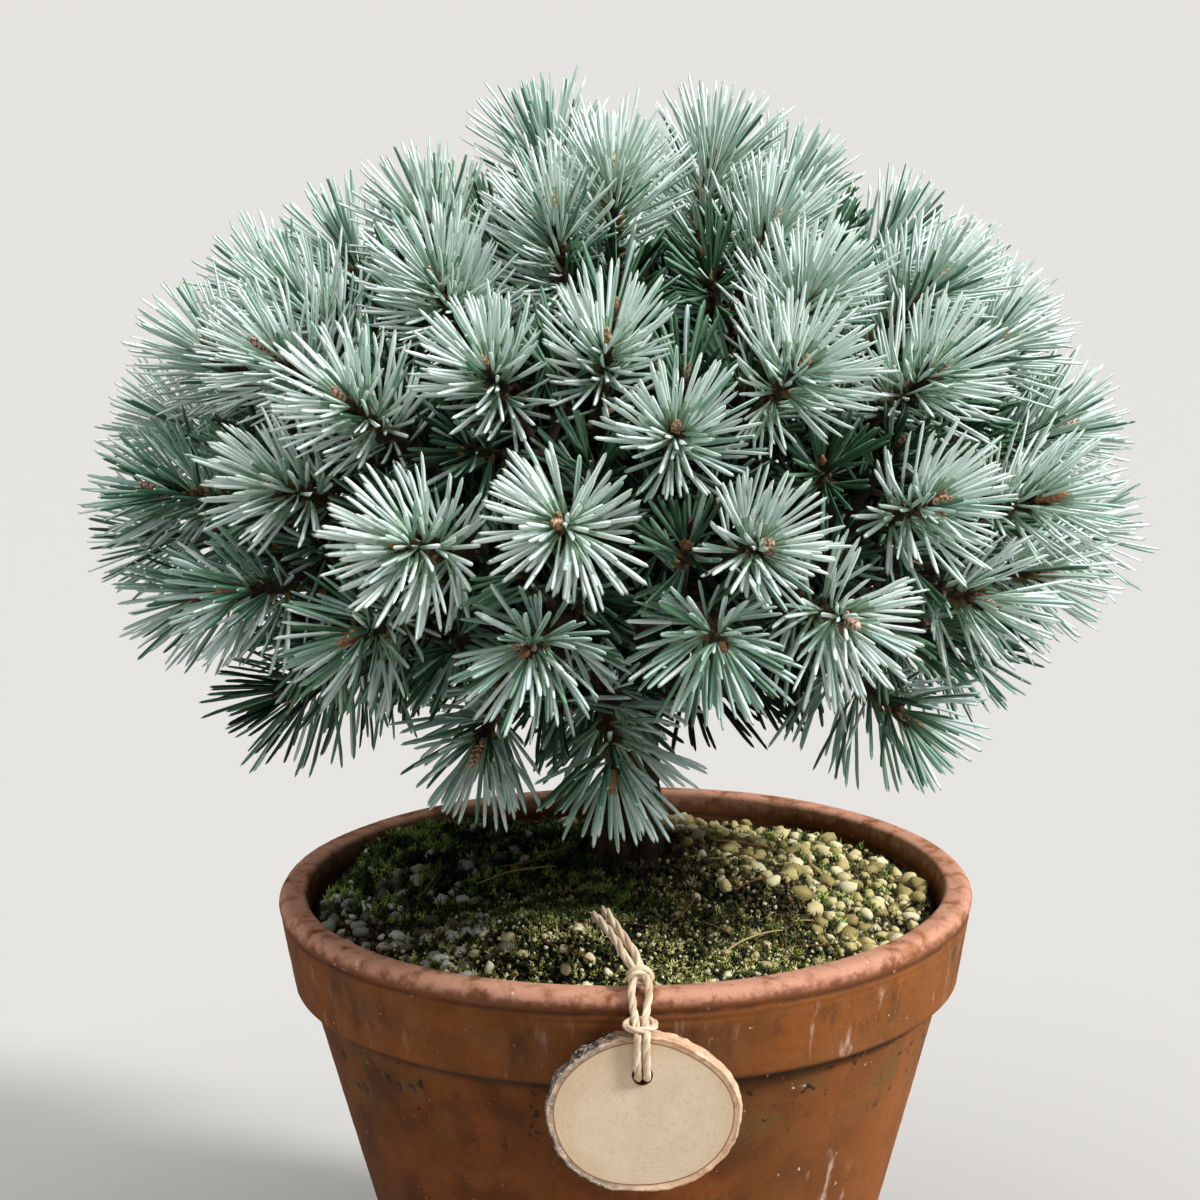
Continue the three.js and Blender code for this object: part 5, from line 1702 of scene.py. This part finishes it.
def twisted(points, sizes, start=0.0, scale=1.0, opening=0.0, pitch=None):
    # three plies round a path; opening spreads them apart over the last stretch
    length = np.linalg.norm(np.diff(smoothPath(points, 60), axis=0), axis=1).sum()
    count = max(8, round(length / sizes["ringSpacing"]))
    path = smoothPath(points, count)
    across, rise = frames(path)
    along = np.linspace(0, length, count)
    left = length - along
    parts = []
    for ply in range(3):
        angle = start + 2 * np.pi * (ply / 3 + along / (pitch or sizes["pitch"]))
        away = across * np.cos(angle)[:, None] + rise * np.sin(angle)[:, None]
        opened = np.clip(1 - left / sizes["openLength"], 0, 1) ** 2
        offset = sizes["plyOffset"] * scale * (1 + opening * opened)
        radii = np.full(count, sizes["plyRadius"] * scale)
        if opening:
            radii = radii * np.interp(left, [0, sizes["endLength"]], [sizes["endWidth"], 1])
        parts.append(sweep(path + away * offset[:, None], radii, sizes["sides"], ply))
    return parts


def fibresAt(end, aim, random, sizes):
    parts = []
    for _ in range(sizes["fibres"]):
        lean = unit(aim + random.normal(0, sizes["fibreSpread"], 3))
        length = random.uniform(*sizes["fibreLength"])
        start = end - aim * sizes["fibreBack"] + random.normal(0, sizes["fibreScatter"], 3)
        droop = np.array([0, 0, -sizes["fibreDroop"]]) * length
        path = smoothPath([start, start + lean * length * 0.5, start + lean * length + droop], 6)
        radius = sizes["fibreRadius"]
        parts.append(sweep(path, [radius] * 5 + [radius * 0.5], 4))
    return parts


def makeTwine(sizes):
    random = np.random.default_rng(sizes["seed"])
    centre, half = np.array(tagSizes["centre"]), tagSizes["thickness"] / 2
    strand = sizes["plyRadius"] + sizes["plyOffset"]
    face, back = centre[1] - half - strand - 0.05, centre[1] + half + strand + 0.05
    hole = centre[2] + tagSizes["holeRise"]
    top = centre[2] + tagSizes["height"] / 2
    knot, rimKnot = np.array(sizes["tagKnot"]), np.array(sizes["rimKnot"])
    lipHeight = potSizes["height"] - potSizes["lip"]
    lipFront = -potSizes["rim"] - strand - 0.4
    parts = []
    for side in (-1, 1):
        # down the face of the tag, through its hole and up behind it
        x = centre[0] + side * (strand + 0.02)
        beside = knot[0] + side * 0.9
        down = [(beside, knot[1] - 0.3, knot[2] + 0.6), (x, face - 0.1, top + 0.7), (x, face, top - 3),
                (x, face, hole + 1.5), (x, face + 0.9, hole - 0.4), (x, centre[1], hole - 0.7)]
        up = [(x, back - 0.9, hole - 0.4), (x, back, hole + 1.8), (x, back, top - 1),
              (x, back - 0.4, top + 0.8), (beside, knot[1] + 0.5, knot[2] + 0.5)]
        parts += twisted(down + up, sizes, start=side)
        # over the collar and the lip to the knot on the rim
        over = [(beside, knot[1] - 0.1, knot[2] + 0.2),
                (knot[0] + side * 1.35, lipFront - 0.4, lipHeight),
                (rimKnot[0] + side * 1.75, lipFront + 1.3, potSizes["height"] + 0.9),
                (rimKnot[0] + side * 1.1, rimKnot[1] - 0.6, rimKnot[2] + 0.3), tuple(rimKnot)]
        parts += twisted(over, sizes, start=side * 2)
        # and the two loose tails, opened and hairy at their ends
        end = np.array(sizes["tailEnd"]) + [side * 1.0, side * 0.6, side * 0.4]
        middle = rimKnot * 0.5 + end * 0.5 + [side * 0.35, 0, 1.2]
        leave = rimKnot * 0.8 + end * 0.2 + [side * 0.9, 0, 0.9]
        tail = [tuple(place) for place in (rimKnot, leave, middle, end)]
        parts += twisted(tail, sizes, start=side * 3, scale=sizes["tailScale"],
                         opening=sizes["tailOpening"], pitch=sizes["tailPitch"])
        parts += fibresAt(end, unit(end - middle), random, sizes)
    # a loop round both strands at the tag, and a turn and a half round the tails on the rim
    width, depth, tilt = sizes["tagLoop"]
    loop = [(knot[0] + width * math.cos(a), knot[1] - 0.2 + depth * math.sin(a), knot[2] + tilt * math.sin(a))
            for a in np.linspace(0, 2 * np.pi, 17)[:-1]]
    parts += twisted(loop + [loop[0]], sizes, start=1.0, scale=sizes["tagLoopScale"])
    tailAim = unit(np.array(sizes["tailEnd"]) - rimKnot)
    side = unit(np.cross(tailAim, [0, 0, 1]))
    up = np.cross(side, tailAim)
    width, height = sizes["rimWrap"]
    slide, slideBack = sizes["rimWrapSlide"]
    wrap = []
    for a in np.linspace(*sizes["rimWrapTurn"], 26):
        slid = tailAim * (slide * (a / np.pi) - slideBack)
        wrap.append(tuple(rimKnot + slid + side * width * math.cos(a) + up * height * math.sin(a)))
    parts += twisted(wrap, sizes, start=0.4, scale=sizes["rimWrapScale"])
    # jute twine: matt bast fibres in three shades, hairy where it is cut
    looks = plainLooks({"juteLight": "#dfc9ae", "juteMid": "#d2b99b", "juteShaded": "#c4a98a"}, {
        "Roughness": 0.9, "IOR": 1.4, "Sheen Weight": 0.2, "Sheen Roughness": 0.5})
    return settle(makePiece("twine", joinParts(parts), looks), "twine", "twine_tie")


makeTwine(twineSizes)
print("litter, tag and twine are in")
